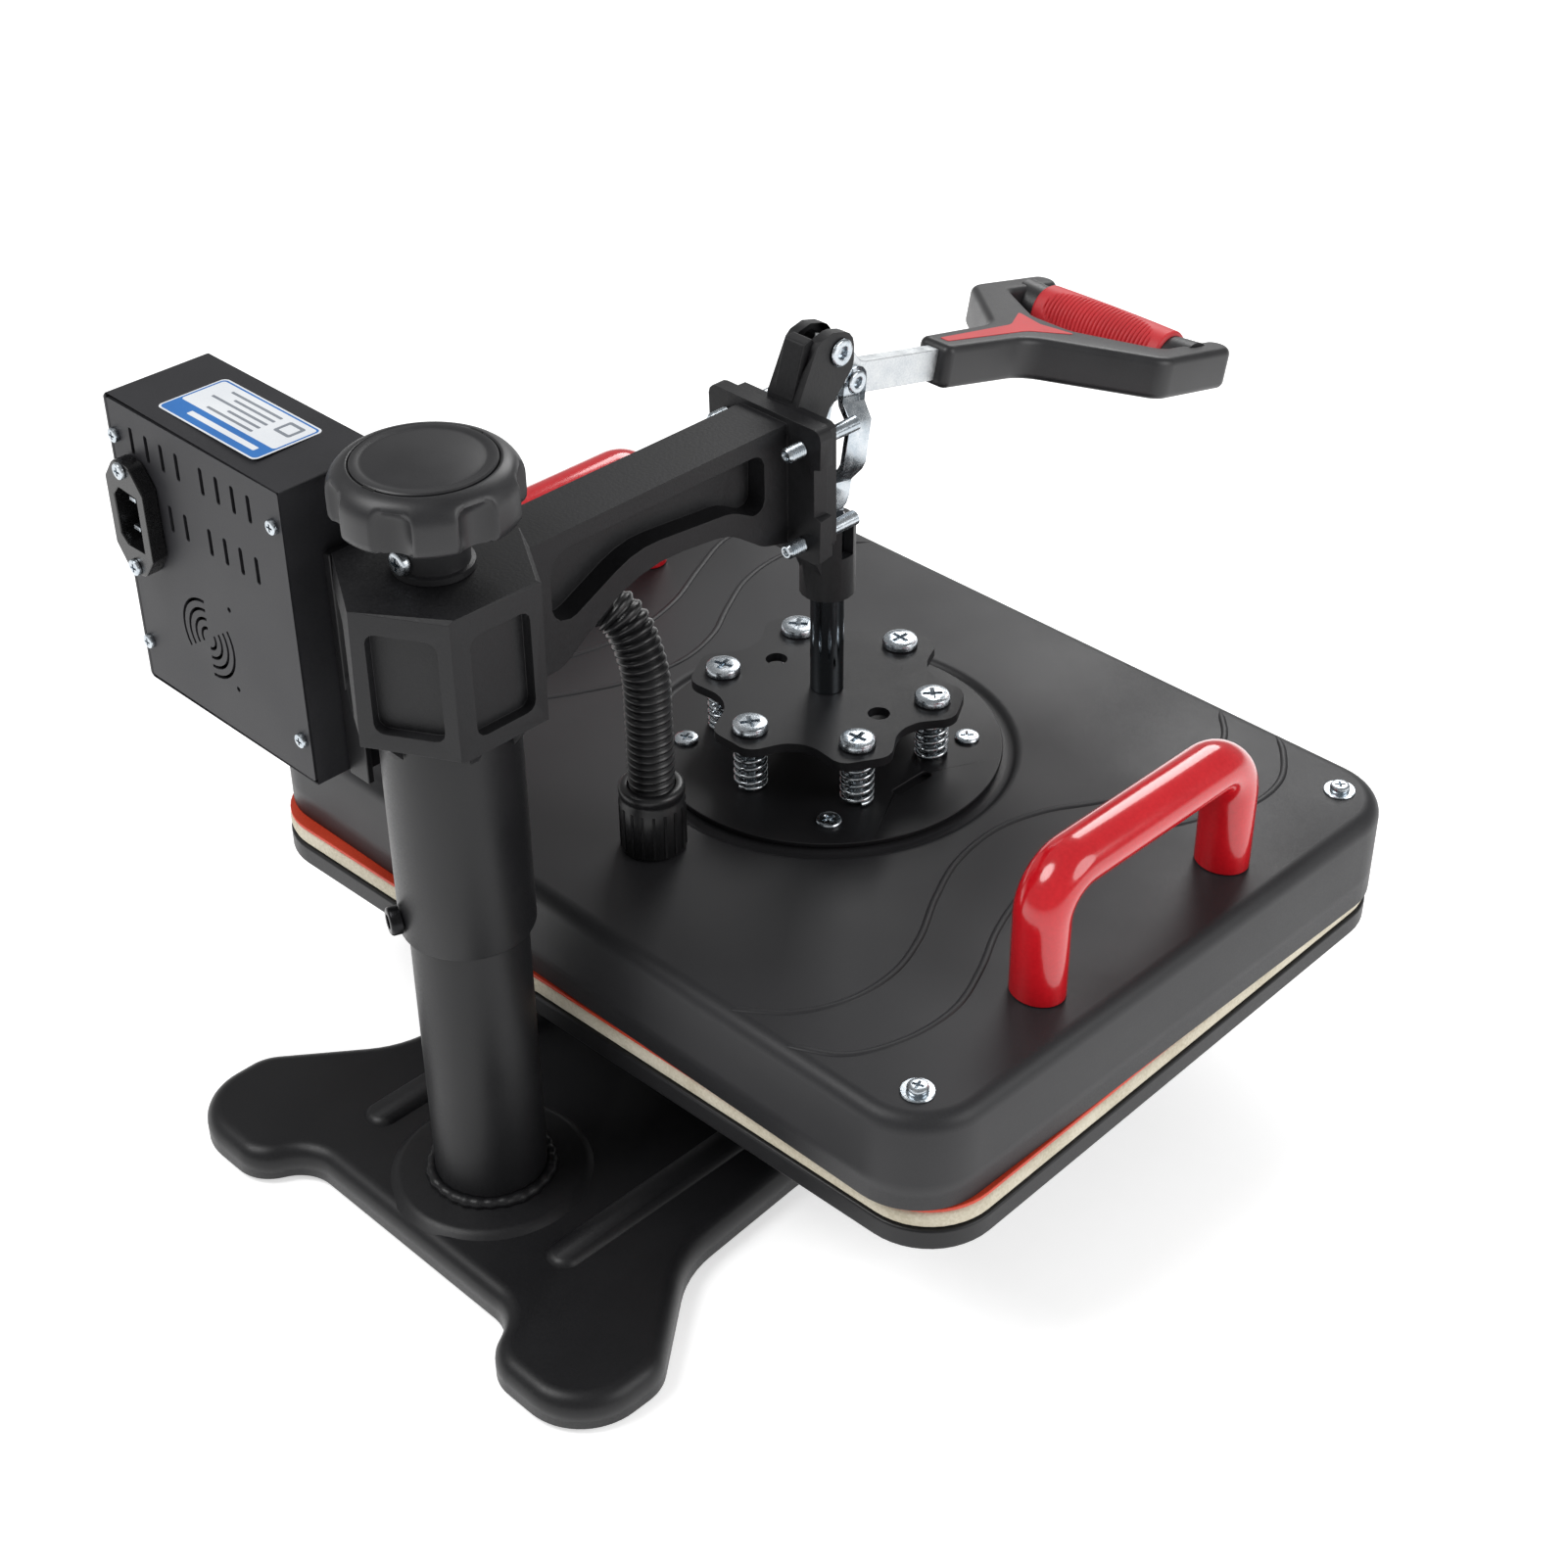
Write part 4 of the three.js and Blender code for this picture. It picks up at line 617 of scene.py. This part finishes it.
bm = bmesh.new()
cross_screw(bm, at(0, POST_Y + 12.8, 305) @ UP_TO_REAR, 4.6, 3.2, 3)
put(bm, "knob_screw", "knob", ZINC, "zinc_plate")
refined("pressure_screw", "knob", OILED_STEEL, "machined_steel", edge=0)


# ------------------------------------------------------------------ control box
# A folded 1.5 mm steel box on a bracket welded under the arm. The shell is open at the rear, and
# a flat cover with vents, a sounder grille and the mains inlet closes it with six zinc screws.
BOX_X, BOX_Y, BOX_Z = (38, 145), (181, 226), (203, 325)
# Textured grey-black powder, a shade lighter than the stand.
BOX_COAT = surface(
    "grey_black_powder_coat", "#2e2e31", "#242427", 0.5, grain=0.8, patch=40,
    Specular_IOR_Level=BLACK_SPECULAR,
)
refined("box_shell", "arm", BOX_COAT, "black_powder_coat", edge=0.5)
refined("box_bracket", "arm", POWDER, "black_powder_coat", edge=0.5)
COVER_FACE = BOX_Y[1] - 0.2
INLET = (129.5, 281)
holes = [rectangle(INLET[0] - 10.3, INLET[0] + 10.3, INLET[1] - 14.3, INLET[1] + 14.3, 2)]
for z, skip in ((304.5, 0), (280, 2)):
    for k in range(skip, 8):
        x = BOX_X[1] - 15 - k * 9.4 - (5.5 if k > 3 else 0)
        holes.append(rectangle(x - 1.1, x + 1.1, z, z + 11, 1))
GRILLE, GRILLE_TURN, GRILLE_SLOT = (98.1, 240.5), 0.5, 0.65
spread = math.radians(62)
for side in (0, math.pi):
    for r in (4.2, 8.0, 11.8, 15.6):
        bow = [(r + GRILLE_SLOT, -spread + 2 * spread * k / 12) for k in range(13)]
        bow += [(r - GRILLE_SLOT, spread - 2 * spread * k / 12) for k in range(13)]
        bow = [(q, a + side + GRILLE_TURN) for q, a in bow]
        holes.append([Vector((GRILLE[0] + q * math.cos(a), GRILLE[1] + q * math.sin(a))) for q, a in bow])
holes += [circle(81.3, 259.9, 1.1, 12), circle(83, 225, 1.1, 12)]
bm = bmesh.new()
plate(
    bm, rectangle(BOX_X[0] + 1.8, BOX_X[1] - 1.8, BOX_Z[0] + 1.8, BOX_Z[1] - 1.8, 1), 0, 1.5, holes,
    at(0, COVER_FACE) @ UP_TO_FRONT,
)
put(bm, "vented_cover", "arm", BOX_COAT, "black_powder_coat", "box_back_cover", edge=0.25, segments=2)
bm = bmesh.new()
for x in (44.5, 140.7):
    for z in (221, 309):
        cross_screw(bm, at(x, COVER_FACE, z) @ UP_TO_REAR, 2.9, 1.9, 3)
for z in (-20, 20):
    cross_screw(bm, at(INLET[0], BOX_Y[1] + 6.7, INLET[1] + z) @ UP_TO_REAR, 3.3, 1.6, 2)
put(bm, "box_screws", "arm", ZINC, "zinc_plate")
INLET_PLASTIC = surface("gloss_black_polycarbonate", "#141415", "#0d0d0e", 0.28, grain=0.5, depth=0.004)
refined("power_inlet", "arm", INLET_PLASTIC, "black_plastic", edge=0.5)
bm = bmesh.new()
for x, z in ((-3.6, 0), (1.6, 6), (1.6, -6)):
    bmesh.ops.create_cube(
        bm, size=1, matrix=at(INLET[0] + x, BOX_Y[1] - 1.5, INLET[1] + z) @ Matrix.Diagonal((4, 9, 1.8, 1))
    )
put(bm, "inlet_pins", "arm", ZINC, "zinc_plate", edge=0.3)

# The rating label: white coated paper with a blue frame and header, and grey bars for its print.
LABEL_WHITE = surface("white_label_stock", "#eceff2", "#dfe3e8", 0.35, grain=0.3, depth=0.002)
LABEL_BLUE = surface("blue_label_ink", "#2f78c4", "#2a6ab2", 0.35, grain=0.3, depth=0.002)
LABEL_GREY = surface("grey_label_ink", "#8d939b", "#777d86", 0.4, grain=0.3, depth=0.002)
label_z = BOX_Z[1]
stock_z, blue_z, print_z, header_z = (label_z + rise for rise in (0.12, 0.17, 0.18, 0.21))
bm = bmesh.new()
plate(bm, rectangle(62, 121, 189, 219, 2.5), label_z, stock_z)
put(bm, "label_stock", "arm", LABEL_WHITE, "black_powder_coat")
bm = bmesh.new()
blue_hole = rectangle(63.6, 119.4, 190.6, 209.5, 1.4)
plate(bm, rectangle(62.8, 120.2, 189.8, 218.2, 2), stock_z, blue_z, [blue_hole])
put(bm, "label_blue", "arm", LABEL_BLUE, "black_powder_coat")
bm = bmesh.new()
for row, width in enumerate((30, 24, 33, 19, 27)):
    y = 193.4 + 3.2 * row
    plate(bm, rectangle(80, 80 + width, y, y + 1.2, 0.4), stock_z, print_z)
plate(bm, rectangle(67, 76, 193, 201, 1), stock_z, print_z, [rectangle(68.4, 74.6, 194.4, 199.6, 0.6)])
put(bm, "label_print", "arm", LABEL_GREY, "black_powder_coat")
bm = bmesh.new()
plate(bm, rectangle(68, 108, 212.4, 215, 0.5), blue_z, header_z)
put(bm, "label_header", "arm", LABEL_WHITE, "black_powder_coat")

# The operator's side: a moulded panel with a smoked display window, three keys and a lit rocker.
WINDOW = surface("smoked_acrylic", "#26332c", "#1d2822", 0.08, grain=0.6, depth=0.001, Coat_Weight=0.4)
RED_GLOSS = surface(
    "glossy_red_abs", "#cf1420", "#c00f1b", 0.18, 0.04, grain=1.6, depth=0.006,
    Coat_Weight=0.6, Coat_Roughness=0.08,
)
BOARD = surface("green_solder_mask", "#1d5a35", "#174a2c", 0.35, grain=1, depth=0.01)
refined("front_panel", "arm", MOULDED, "black_plastic", edge=0.4)
refined("display_window", "arm", WINDOW, "smoked_window", edge=0.3)
refined("control_board", "arm", BOARD, "green_board", edge=0.2)
refined("power_rocker", "rocker", RED_GLOSS, "red_gloss_plastic", edge=0.4)
for n, body in enumerate(("button_left", "button_middle", "button_right"), 1):
    refined(f"button_{n}", body, MOULDED, "black_plastic", edge=0.5)


# ------------------------------------------------------------------ toggle pins and links
# The lever turns on a zinc plated tubular rivet in the toggle body's cheeks. Two joggled steel
# strips hang from a second rivet and drive the plunger down as the lever closes.
def rivet(name, body, y, z):
    """A tubular rivet across the press, as long and as thick as its pin."""
    low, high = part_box(name)
    half, r = high.x * 1000, (high.z - low.z) * 500
    end = [
        (0, half - 1.8), (r * 0.4, half - 1.8), (r * 0.46, half - 0.3), (r * 0.58, half),
        (r * 0.86, half - 0.1), (r * 0.98, half - 0.5), (r, half - 1.0), (r * 0.94, half - 1.25),
        (r * 0.6, half - 1.3),
    ]
    bm = bmesh.new()
    turn(bm, end + [(q, -h) for q, h in reversed(end)], at(0, y, z) @ UP_TO_SIDE, 40)
    put(bm, name + "_rivet", body, ZINC, "zinc_plate", name, sharp=50)


CRANK = (-9, 297)
rivet("pivot_pin", "arm", 2, 314)
rivet("upper_link_pin", "lever", *CRANK)
refined("link_left", "link", ZINC, "zinc_plate", edge=0.35)
refined("link_right", "link", ZINC, "zinc_plate", edge=0.35)


# ------------------------------------------------------------------ lever bar and handle
# Hot-dip galvanised flat bar, pale grey with a cloudy spangle. A glass-filled nylon fork is driven
# on to its end; a red stripe is inlaid in the stem and a soft red sleeve covers the cross grip.
GALVANISED = surface("galvanised_flat_bar", "#dfe2e3", "#b9bec2", 0.42, 0.12, grain=0.8, depth=0.02, patch=7,
                     Metallic=0.85)
refined("lever_bar", "lever", GALVANISED, "galvanised_bar", edge=0.5)
SLOPE = math.radians(13)  # the lever falls towards the operator
lever_place = Matrix((
    (-1, 0, 0, 0),
    (0, -math.cos(SLOPE), -math.sin(SLOPE), CRANK[0] - CRANK[0] * math.cos(SLOPE)),
    (0, -math.sin(SLOPE), math.cos(SLOPE), CRANK[1] - CRANK[0] * math.sin(SLOPE)),
    (0, 0, 0, 1),
))
GRIP_AT = 177
FORK_HALF, FORK_ROUND = 9, 3.2
half_fork = [
    (8.6, 60, 4), (10.5, 108, 18), (54, 146, 12), (54, 195, 6.4), (41, 195, 6.4), (41, 158, 8), (10, 137, 11),
]


def mirrored(half):
    return [(-x, s, r) for x, s, r in reversed(half)]


def crown(bm, radius, steps=5):
    """Rounds the rims of a plate's two caps in steps along an arc; each cap rises by the radius."""
    bmesh.ops.recalc_face_normals(bm, faces=bm.faces)
    for side in (-1, 1):
        cap = [f for f in bm.faces if f.normal.z * side > 0.99]
        inward = rise = 0.0
        for k in range(1, steps + 1):
            a = math.pi / 2 * k / steps
            step_in = radius * (1 - math.cos(a)) - inward
            step_up = radius * math.sin(a) - rise
            bmesh.ops.inset_region(bm, faces=cap, thickness=step_in, use_even_offset=True)
            rising = list({v for f in cap for v in f.verts})
            bmesh.ops.translate(bm, verts=rising, vec=(0, 0, side * step_up))
            inward += step_in
            rise += step_up


bm = bmesh.new()
flat = FORK_HALF - FORK_ROUND
edges = ring_of(bm, rounded(half_fork + mirrored(half_fork), 5), -flat)
bmesh.ops.triangle_fill(bm, use_beauty=True, use_dissolve=False, edges=edges)
raised = bmesh.ops.extrude_face_region(bm, geom=list(bm.faces))["geom"]
bmesh.ops.translate(bm, verts=verts_of(raised), vec=(0, 0, 2 * flat))
crown(bm, FORK_ROUND)
bmesh.ops.transform(bm, matrix=lever_place, verts=bm.verts)
put(bm, "handle_fork", "lever", MOULDED, "black_plastic", "handle_frame", sharp=40)
across_grip = lever_place @ at(0, GRIP_AT) @ UP_TO_SIDE
bm = bmesh.new()
turn(bm, [(0, -46), (10.6, -46), (10.2, -40), (9.6, -33), (0, -33)], across_grip, 48)
turn(bm, [(0, 33), (9.6, 33), (10.2, 40), (10.6, 46), (0, 46)], across_grip, 48)
put(bm, "grip_core", "lever", MOULDED, "black_plastic", sharp=50)

# Red inlay: ABS, satin, set flush into the stem and split into two prongs at the fork.
INLAY = surface("satin_red_abs", "#d8262d", "#c41c24", 0.4, grain=0.8, depth=0.008, patch=20)
bm = bmesh.new()
half_stripe = [(2.2, 66, 1), (4.4, 114, 12), (15.5, 132.5, 0.8)]
stripe = half_stripe + [(0, 128, 3)] + mirrored(half_stripe)
plate(bm, rounded(stripe), FORK_HALF - 0.4, FORK_HALF + 0.25)
bmesh.ops.transform(bm, matrix=lever_place, verts=bm.verts)
put(bm, "stem_inlay", "lever", INLAY, "red_gloss_plastic", edge=0.15, segments=2)

# Soft grip: thermoplastic rubber, satin red, with fine ribs in an oval panel on the rear side.
GRIP_RUBBER = surface("satin_red_soft_grip", "#d5333a", "#c1262d", 0.5, grain=0.5, depth=0.012, patch=15)
GRIP_HALF, GRIP_R, GRIP_STEPS = 34, 12, 272
RIB, RIB_DEPTH = 2.05, 1.15
PANEL_AT, PANEL_DEGREES, PANEL_HALF = -122, 62, 29.5  # its middle, half its width and half its length
bm = bmesh.new()
profile = [(9.4, -GRIP_HALF + 1.2), (9.8, -GRIP_HALF), (11, -GRIP_HALF + 0.2), (11.6, -GRIP_HALF + 1.2)]
for k in range(1, GRIP_STEPS):
    x = (-1 + 2 * k / GRIP_STEPS) * (GRIP_HALF - 1.2)
    profile.append((GRIP_R - 0.4 * (x / GRIP_HALF) ** 2, x))
profile += [(q, -x) for q, x in reversed(profile[:4])]
turn(bm, profile, steps=96)
for v in bm.verts:
    r = math.hypot(v.co.x, v.co.y)
    off = math.degrees(math.atan2(v.co.y, v.co.x))  # 0 is the underside of the grip, -90 the rear
    swing = (off - PANEL_AT + 180) % 360 - 180
    inside = 1 - (v.co.z / PANEL_HALF) ** 2 - (swing / PANEL_DEGREES) ** 2
    panel = min(1.0, max(0.0, inside * 9))
    if r > 11.5 and panel > 0:
        rib = abs(math.cos(math.pi * v.co.z / RIB)) ** 0.6
        scale = 1 - RIB_DEPTH * panel * (1 - rib) / r
        v.co.x *= scale
        v.co.y *= scale
bmesh.ops.transform(bm, matrix=across_grip, verts=bm.verts)
put(bm, "soft_grip", "lever", GRIP_RUBBER, "red_grip_rubber", "grip_sleeve", sharp=70)


# ------------------------------------------------------------------ plunger rod and spider plate
# Ground and hard chromed steel rod, dark and mirror bright, welded to a 4 mm plate with six ears
# and two open holes. The rod ends in a flat tongue that stands between the toggle's links.
CHROME = surface(
    "polished_hard_chrome", "#8a8f94", "#7b8085", 0.09, 0.03, grain=0.6, depth=0.001, Metallic=1.0
)
ROD_R, ROD_SHOULDER, TONGUE_TOP = 7, 240.5, 256
rod_foot = rod_low.z * 1000
rod_profile = [
    (0, rod_foot), (ROD_R, rod_foot), (ROD_R, ROD_SHOULDER - 0.6), (ROD_R - 0.6, ROD_SHOULDER),
    (0, ROD_SHOULDER),
]
bm = bmesh.new()
turn(bm, rod_profile, steps=80)
tongue = rounded([
    (-6, ROD_SHOULDER - 4, 0), (6, ROD_SHOULDER - 4, 0), (6, TONGUE_TOP, 5.8), (-6, TONGUE_TOP, 5.8),
])
plate(bm, tongue, -3, 3, matrix=ON_EDGE)
put(bm, "chromed_rod", "plunger", CHROME, "machined_steel", "plunger_rod")

SPIDER_Z = (155, 159)
BOLTS = 6
BOLT_CIRCLE = 44.7
ears = []
for k in range(BOLTS):
    a = (k + 0.5) * 2 * math.pi / BOLTS
    for r, shift, fillet in ((40.5, -30, 16), (57.5, -10.8, 8), (57.5, 10.8, 8)):
        b = a + math.radians(shift)
        ears.append((r * math.cos(b), r * math.sin(b), fillet))
bm = bmesh.new()
plate(bm, rounded(ears, 5), *SPIDER_Z, [circle(29.5, 0, 4.6), circle(-29.5, 0, 4.6)])
put(bm, "eared_plate", "plunger", POWDER, "black_powder_coat", "spider_plate", edge=0.9)


# ------------------------------------------------------------------ float bolts and springs
# Six zinc plated cross-recess bolts hang the platen from the plate, and a spring round each one
# presses it down evenly. The springs are wound from 2 mm wire; they shorten as the platen gives,
# but each is built here at one fixed length.
DISC_TOP = 132.3
SPRING_R, WIRE_R, SPRING_TURNS, TURN_STEPS = 6.2, 1.0, 6.5, 26
END_COIL = 0.07  # the share of the wire that lies flat at each end
SPRING_WIRE = surface(
    "bright_spring_wire", "#dfe3e6", "#8d969c", 0.2, 0.08, grain=0.7, depth=0.006, patch=3, Metallic=1.0
)
for k in range(BOLTS):
    a = (k + 0.5) * 2 * math.pi / BOLTS
    x, y = BOLT_CIRCLE * math.cos(a), BOLT_CIRCLE * math.sin(a)
    bm = bmesh.new()
    seat = at(x, y, SPIDER_Z[1] + 0.3) @ Matrix.Rotation(0.7 * k + 0.3, 4, "Z")
    cross_screw(bm, seat, 7.5, 3.4, SPIDER_Z[1] - DISC_TOP - 0.3)
    put(bm, f"shoulder_bolt_{k + 1}", "platen", ZINC, "zinc_plate", f"float_bolt_{k + 1}")
    wire = []
    z0, z1 = DISC_TOP + 1.35, SPIDER_Z[0] - 1.35
    steps = round(SPRING_TURNS * TURN_STEPS)
    for s in range(steps + 1):
        t = s / steps
        level = min(1.0, max(0.0, (t - END_COIL) / (1 - 2 * END_COIL)))
        b = a + 2 * math.pi * SPRING_TURNS * t
        wire.append(Vector((x + SPRING_R * math.cos(b), y + SPRING_R * math.sin(b), z0 + (z1 - z0) * level)))
    bm = bmesh.new()
    tube(bm, wire, WIRE_R, 10)
    spring = put(
        bm, f"coil_spring_{k + 1}", "plunger", SPRING_WIRE, "zinc_plate", f"float_spring_{k + 1}", sharp=80
    )
    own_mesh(spring)


# ------------------------------------------------------------------ heated platen
# A pressed steel cover with a soft shoulder hides the cast heating plate and its insulation. A
# ring groove is pressed round the centre, and long contour lines stiffen the flat of the cover.
COVER_HALF, COVER_Z, GROOVE_R = (195, 147.3), (87.6, 130), 82.5
# Dark grey-black heat-resistant paint, matt, with a very fine texture.
COVER_COAT = surface(
    "matt_heat_resistant_paint", "#2b2b2d", "#232325", 0.47, grain=0.7, depth=0.012, patch=60,
    Specular_IOR_Level=BLACK_SPECULAR,
)


bm = bmesh.new()
levels = [(0, COVER_Z[0]), (0, 100), (0, 112), (0, 123)]
for a in range(10, 91, 10):
    levels.append((7 * (1 - math.cos(math.radians(a))), 123 + 7 * math.sin(math.radians(a))))
rings = []
for d, z in levels:
    half_x, half_y = COVER_HALF[0] - d, COVER_HALF[1] - d
    rings.append(ring_of(bm, rectangle(-half_x, half_x, PLATEN_Y - half_y, PLATEN_Y + half_y, 30 - d), z))
bridge(bm, rings, capped=False)
flat_edges = rings[-1] + ring_of(bm, circle(0, 0, GROOVE_R, 96), COVER_Z[1])
bmesh.ops.triangle_fill(bm, use_beauty=True, use_dissolve=False, edges=flat_edges)
groove = [
    (GROOVE_R, 130), (81.4, 129.93), (80.4, 129.7), (79.6, 129.2), (79, 128.6), (78, 128.2), (76, 128.2),
    (75, 128.2), (73, 129), (60, 129), (0, 129),
]
turn(bm, groove, steps=96)
cover = put(bm, "pressed_cover", "platen", COVER_COAT, "dark_cover_coat", "platen_cover", sharp=50)
thicken(cover, 1.6)

inner_line = [
    (-95, 148), (-112, 134), (-122, 114), (-123, 91), (-116, 69), (-104, 47), (-94, 23),
    (-91, -4), (-97, -27), (-108, -46), (-120, -70), (-124, -96), (-117, -120), (-103, -136),
]
outer_line = [
    (-124, 148), (-142, 137), (-152, 115), (-153, 90), (-145, 67), (-134, 45), (-126, 20),
    (-124, -6), (-130, -34), (-143, -62), (-154, -90), (-152, -112), (-140, -130), (-132, -137),
]
contours = [inner_line, outer_line]
contours += [[(-x, y) for x, y in line] for line in contours]
bm = bmesh.new()
for line in contours:
    path, _ = smooth_route([(x, y, COVER_Z[1] - 0.42) for x, y in line], 2.5)
    last = len(path) - 1
    tube(bm, path, lambda k: 1.0 if 2 < k < last - 2 else 0.45 + 0.25 * min(k, last - k), 10, flat=1.7)
put(bm, "cover_contours", "platen", COVER_COAT, "dark_cover_coat", sharp=80)
HEATER = surface("cast_aluminium_plate", "#b9bcc0", "#9ea2a6", 0.38, grain=0.6, depth=0.006, Metallic=1.0)
refined("heater_plate", "platen", HEATER, "cast_aluminium", edge=0.8)
WOOL = surface("insulation_felt", "#cfcabc", "#b8b19f", 0.95, grain=1.5, depth=0.3)
refined("insulation", "platen", WOOL, "mineral_wool", edge=0)

bm = bmesh.new()
plate(bm, circle(0, 0, 74, 128), DISC_TOP - 2, DISC_TOP, [rectangle(-49.5, -45, -12, 9, 2.2)])
put(bm, "bolted_disc", "platen", POWDER, "black_powder_coat", "mount_disc", edge=0.5)
bm = bmesh.new()
for k in range(4):
    a = math.radians(45 + 90 * k)
    spot = at(59 * math.cos(a), 59 * math.sin(a), DISC_TOP) @ Matrix.Rotation(0.4 + k, 4, "Z")
    cross_screw(bm, spot, 5.2, 1.7, 1)
for x in (-173.8, 173.8):
    for y in (PLATEN_Y - 127.8, PLATEN_Y + 127.8):
        turn(bm, [(0, 130), (6.3, 130), (6.5, 130.4), (6.2, 130.8), (0, 130.9)], at(x, y), 40)
        cross_screw(bm, at(x, y, 130.8) @ Matrix.Rotation(x + y, 4, "Z"), 4.1, 2.4)
put(bm, "cover_screws", "platen", ZINC, "zinc_plate")


# ------------------------------------------------------------------ pull handles
# Two injection moulded ABS handles, glossy red, screwed to the cover from inside. Each one is a
# bar of nearly round section, bent over two feet; with them the operator swings the platen.
PULL_X, PULL_FEET, PULL_HEIGHT, PULL_BEND = 168, 56, 62, 17
PULL_SECTION = (11.5, 10)
FOOT_STEPS, FOOT_STEP, BEND_STEPS = 10, 3.7, 12
for name, x in (("pull_handle_left", -PULL_X), ("pull_handle_right", PULL_X)):
    top = COVER_Z[1] + PULL_HEIGHT - PULL_SECTION[1]
    heights = [COVER_Z[1] + 0.2 + FOOT_STEP * k for k in range(FOOT_STEPS)]
    path = [Vector((x, PLATEN_Y - PULL_FEET, z)) for z in heights]
    for side in (-1, 1):
        for k in range(BEND_STEPS + 1):
            quarter_turn = 90 * k / BEND_STEPS
            a = math.radians(quarter_turn if side < 0 else 90 - quarter_turn)
            y = PLATEN_Y + side * (PULL_FEET - PULL_BEND + PULL_BEND * math.cos(a))
            path.append(Vector((x, y, top - PULL_BEND + PULL_BEND * math.sin(a))))
    path += [Vector((x, PLATEN_Y + PULL_FEET, z)) for z in reversed(heights)]
    bm = bmesh.new()
    flat = PULL_SECTION[1] / PULL_SECTION[0]
    tube(bm, path, PULL_SECTION[0], 36, flat=flat, side=Vector((1, 0, 0)))
    put(bm, name + "_moulding", "platen", RED_GLOSS, "red_gloss_plastic", name, sharp=60, edge=0.7)


# ------------------------------------------------------------------ hose glands
# Two moulded nylon glands grip the hose's ends, on the heated platen and on the control box. Each
# has a ring groove below its lip and shallow ribs for the fingers.
GLAND_R, GLAND_BORE, GLAND_RIBS = 13.2, 9.8, 18


def gland(bm, length, matrix):
    profile = [
        (GLAND_BORE, 0), (12.4, 0), (GLAND_R, 0.8), (GLAND_R, length - 7), (12.5, length - 6),
        (12.5, length - 4.4), (GLAND_R, length - 3.4), (GLAND_R, length - 1.4), (12.6, length - 0.5),
        (11.4, length), (GLAND_BORE, length - 0.2), (GLAND_BORE, 0),
    ]
    turn(bm, profile, matrix, 72)
    for k in range(GLAND_RIBS):
        spin = Matrix.Rotation(2 * math.pi * k / GLAND_RIBS, 4, "Z")
        rib = matrix @ spin @ at(GLAND_R, 0, (length - 8) / 2 + 0.6)
        bmesh.ops.create_cube(bm, size=1, matrix=rib @ Matrix.Diagonal((0.5, 1.1, length - 10, 1)))


bm = bmesh.new()
gland(bm, 30, at(0, 99, 130.3))
put(bm, "platen_hose_gland", "platen", NYLON, "black_plastic", "platen_gland", sharp=45)
bm = bmesh.new()
gland(bm, 17, at(56, BOX_Y[0] - 0.3, 221) @ UP_TO_FRONT)
put(bm, "box_hose_gland", "arm", NYLON, "black_plastic", "box_gland", sharp=45)


# ------------------------------------------------------------------ floor and light
# A pale studio floor with a faint glow of its own, three large soft lamps and a dim even
# surround. The surround stays dim so that the black coats don't turn grey by reflecting it.
floor_finish = surface("pale_floor", "#f6f6f6", "#f3f3f3", 0.6, grain=8, depth=0.01, patch=400)
bm = bmesh.new()
bmesh.ops.create_grid(bm, x_segments=1, y_segments=1, size=20)
floor_mesh = bpy.data.meshes.new("floor")
bm.to_mesh(floor_mesh)
bm.free()
FLOOR_GLOW, SURROUND = 0.55, 0.34
glow = floor_finish.node_tree.nodes["Principled BSDF"]
glow.inputs["Emission Color"].default_value = (1, 1, 1, 1)
glow.inputs["Emission Strength"].default_value = FLOOR_GLOW
floor_mesh.materials.append(floor_finish)
floor = bpy.data.objects.new("floor", floor_mesh)
bpy.context.collection.objects.link(floor)

world = bpy.data.worlds.new("studio")
world.use_nodes = True
world.node_tree.nodes["Background"].inputs["Color"].default_value = (1, 1, 1, 1)
world.node_tree.nodes["Background"].inputs["Strength"].default_value = SURROUND
bpy.context.scene.world = world
# The Standard view keeps black paint black and the pale floor near white.
bpy.context.scene.view_settings.view_transform = "Standard"


def lamp(name, position, size, watts):
    light = bpy.data.lights.new(name, "AREA")
    light.shape = "DISK"
    light.size = size
    light.energy = watts
    made = bpy.data.objects.new(name, light)
    bpy.context.collection.objects.link(made)
    toward = Vector((0, 0, 0.15)) - Vector(position)
    made.matrix_world = Matrix.Translation(position) @ toward.to_track_quat("-Z", "Y").to_matrix().to_4x4()


lamp("key", (0.6, 1.2, 1.9), 1.2, 26)
lamp("fill", (-1.8, -0.6, 1.1), 1.4, 18)
lamp("rim", (0.8, -1.6, 1.4), 1.0, 15)
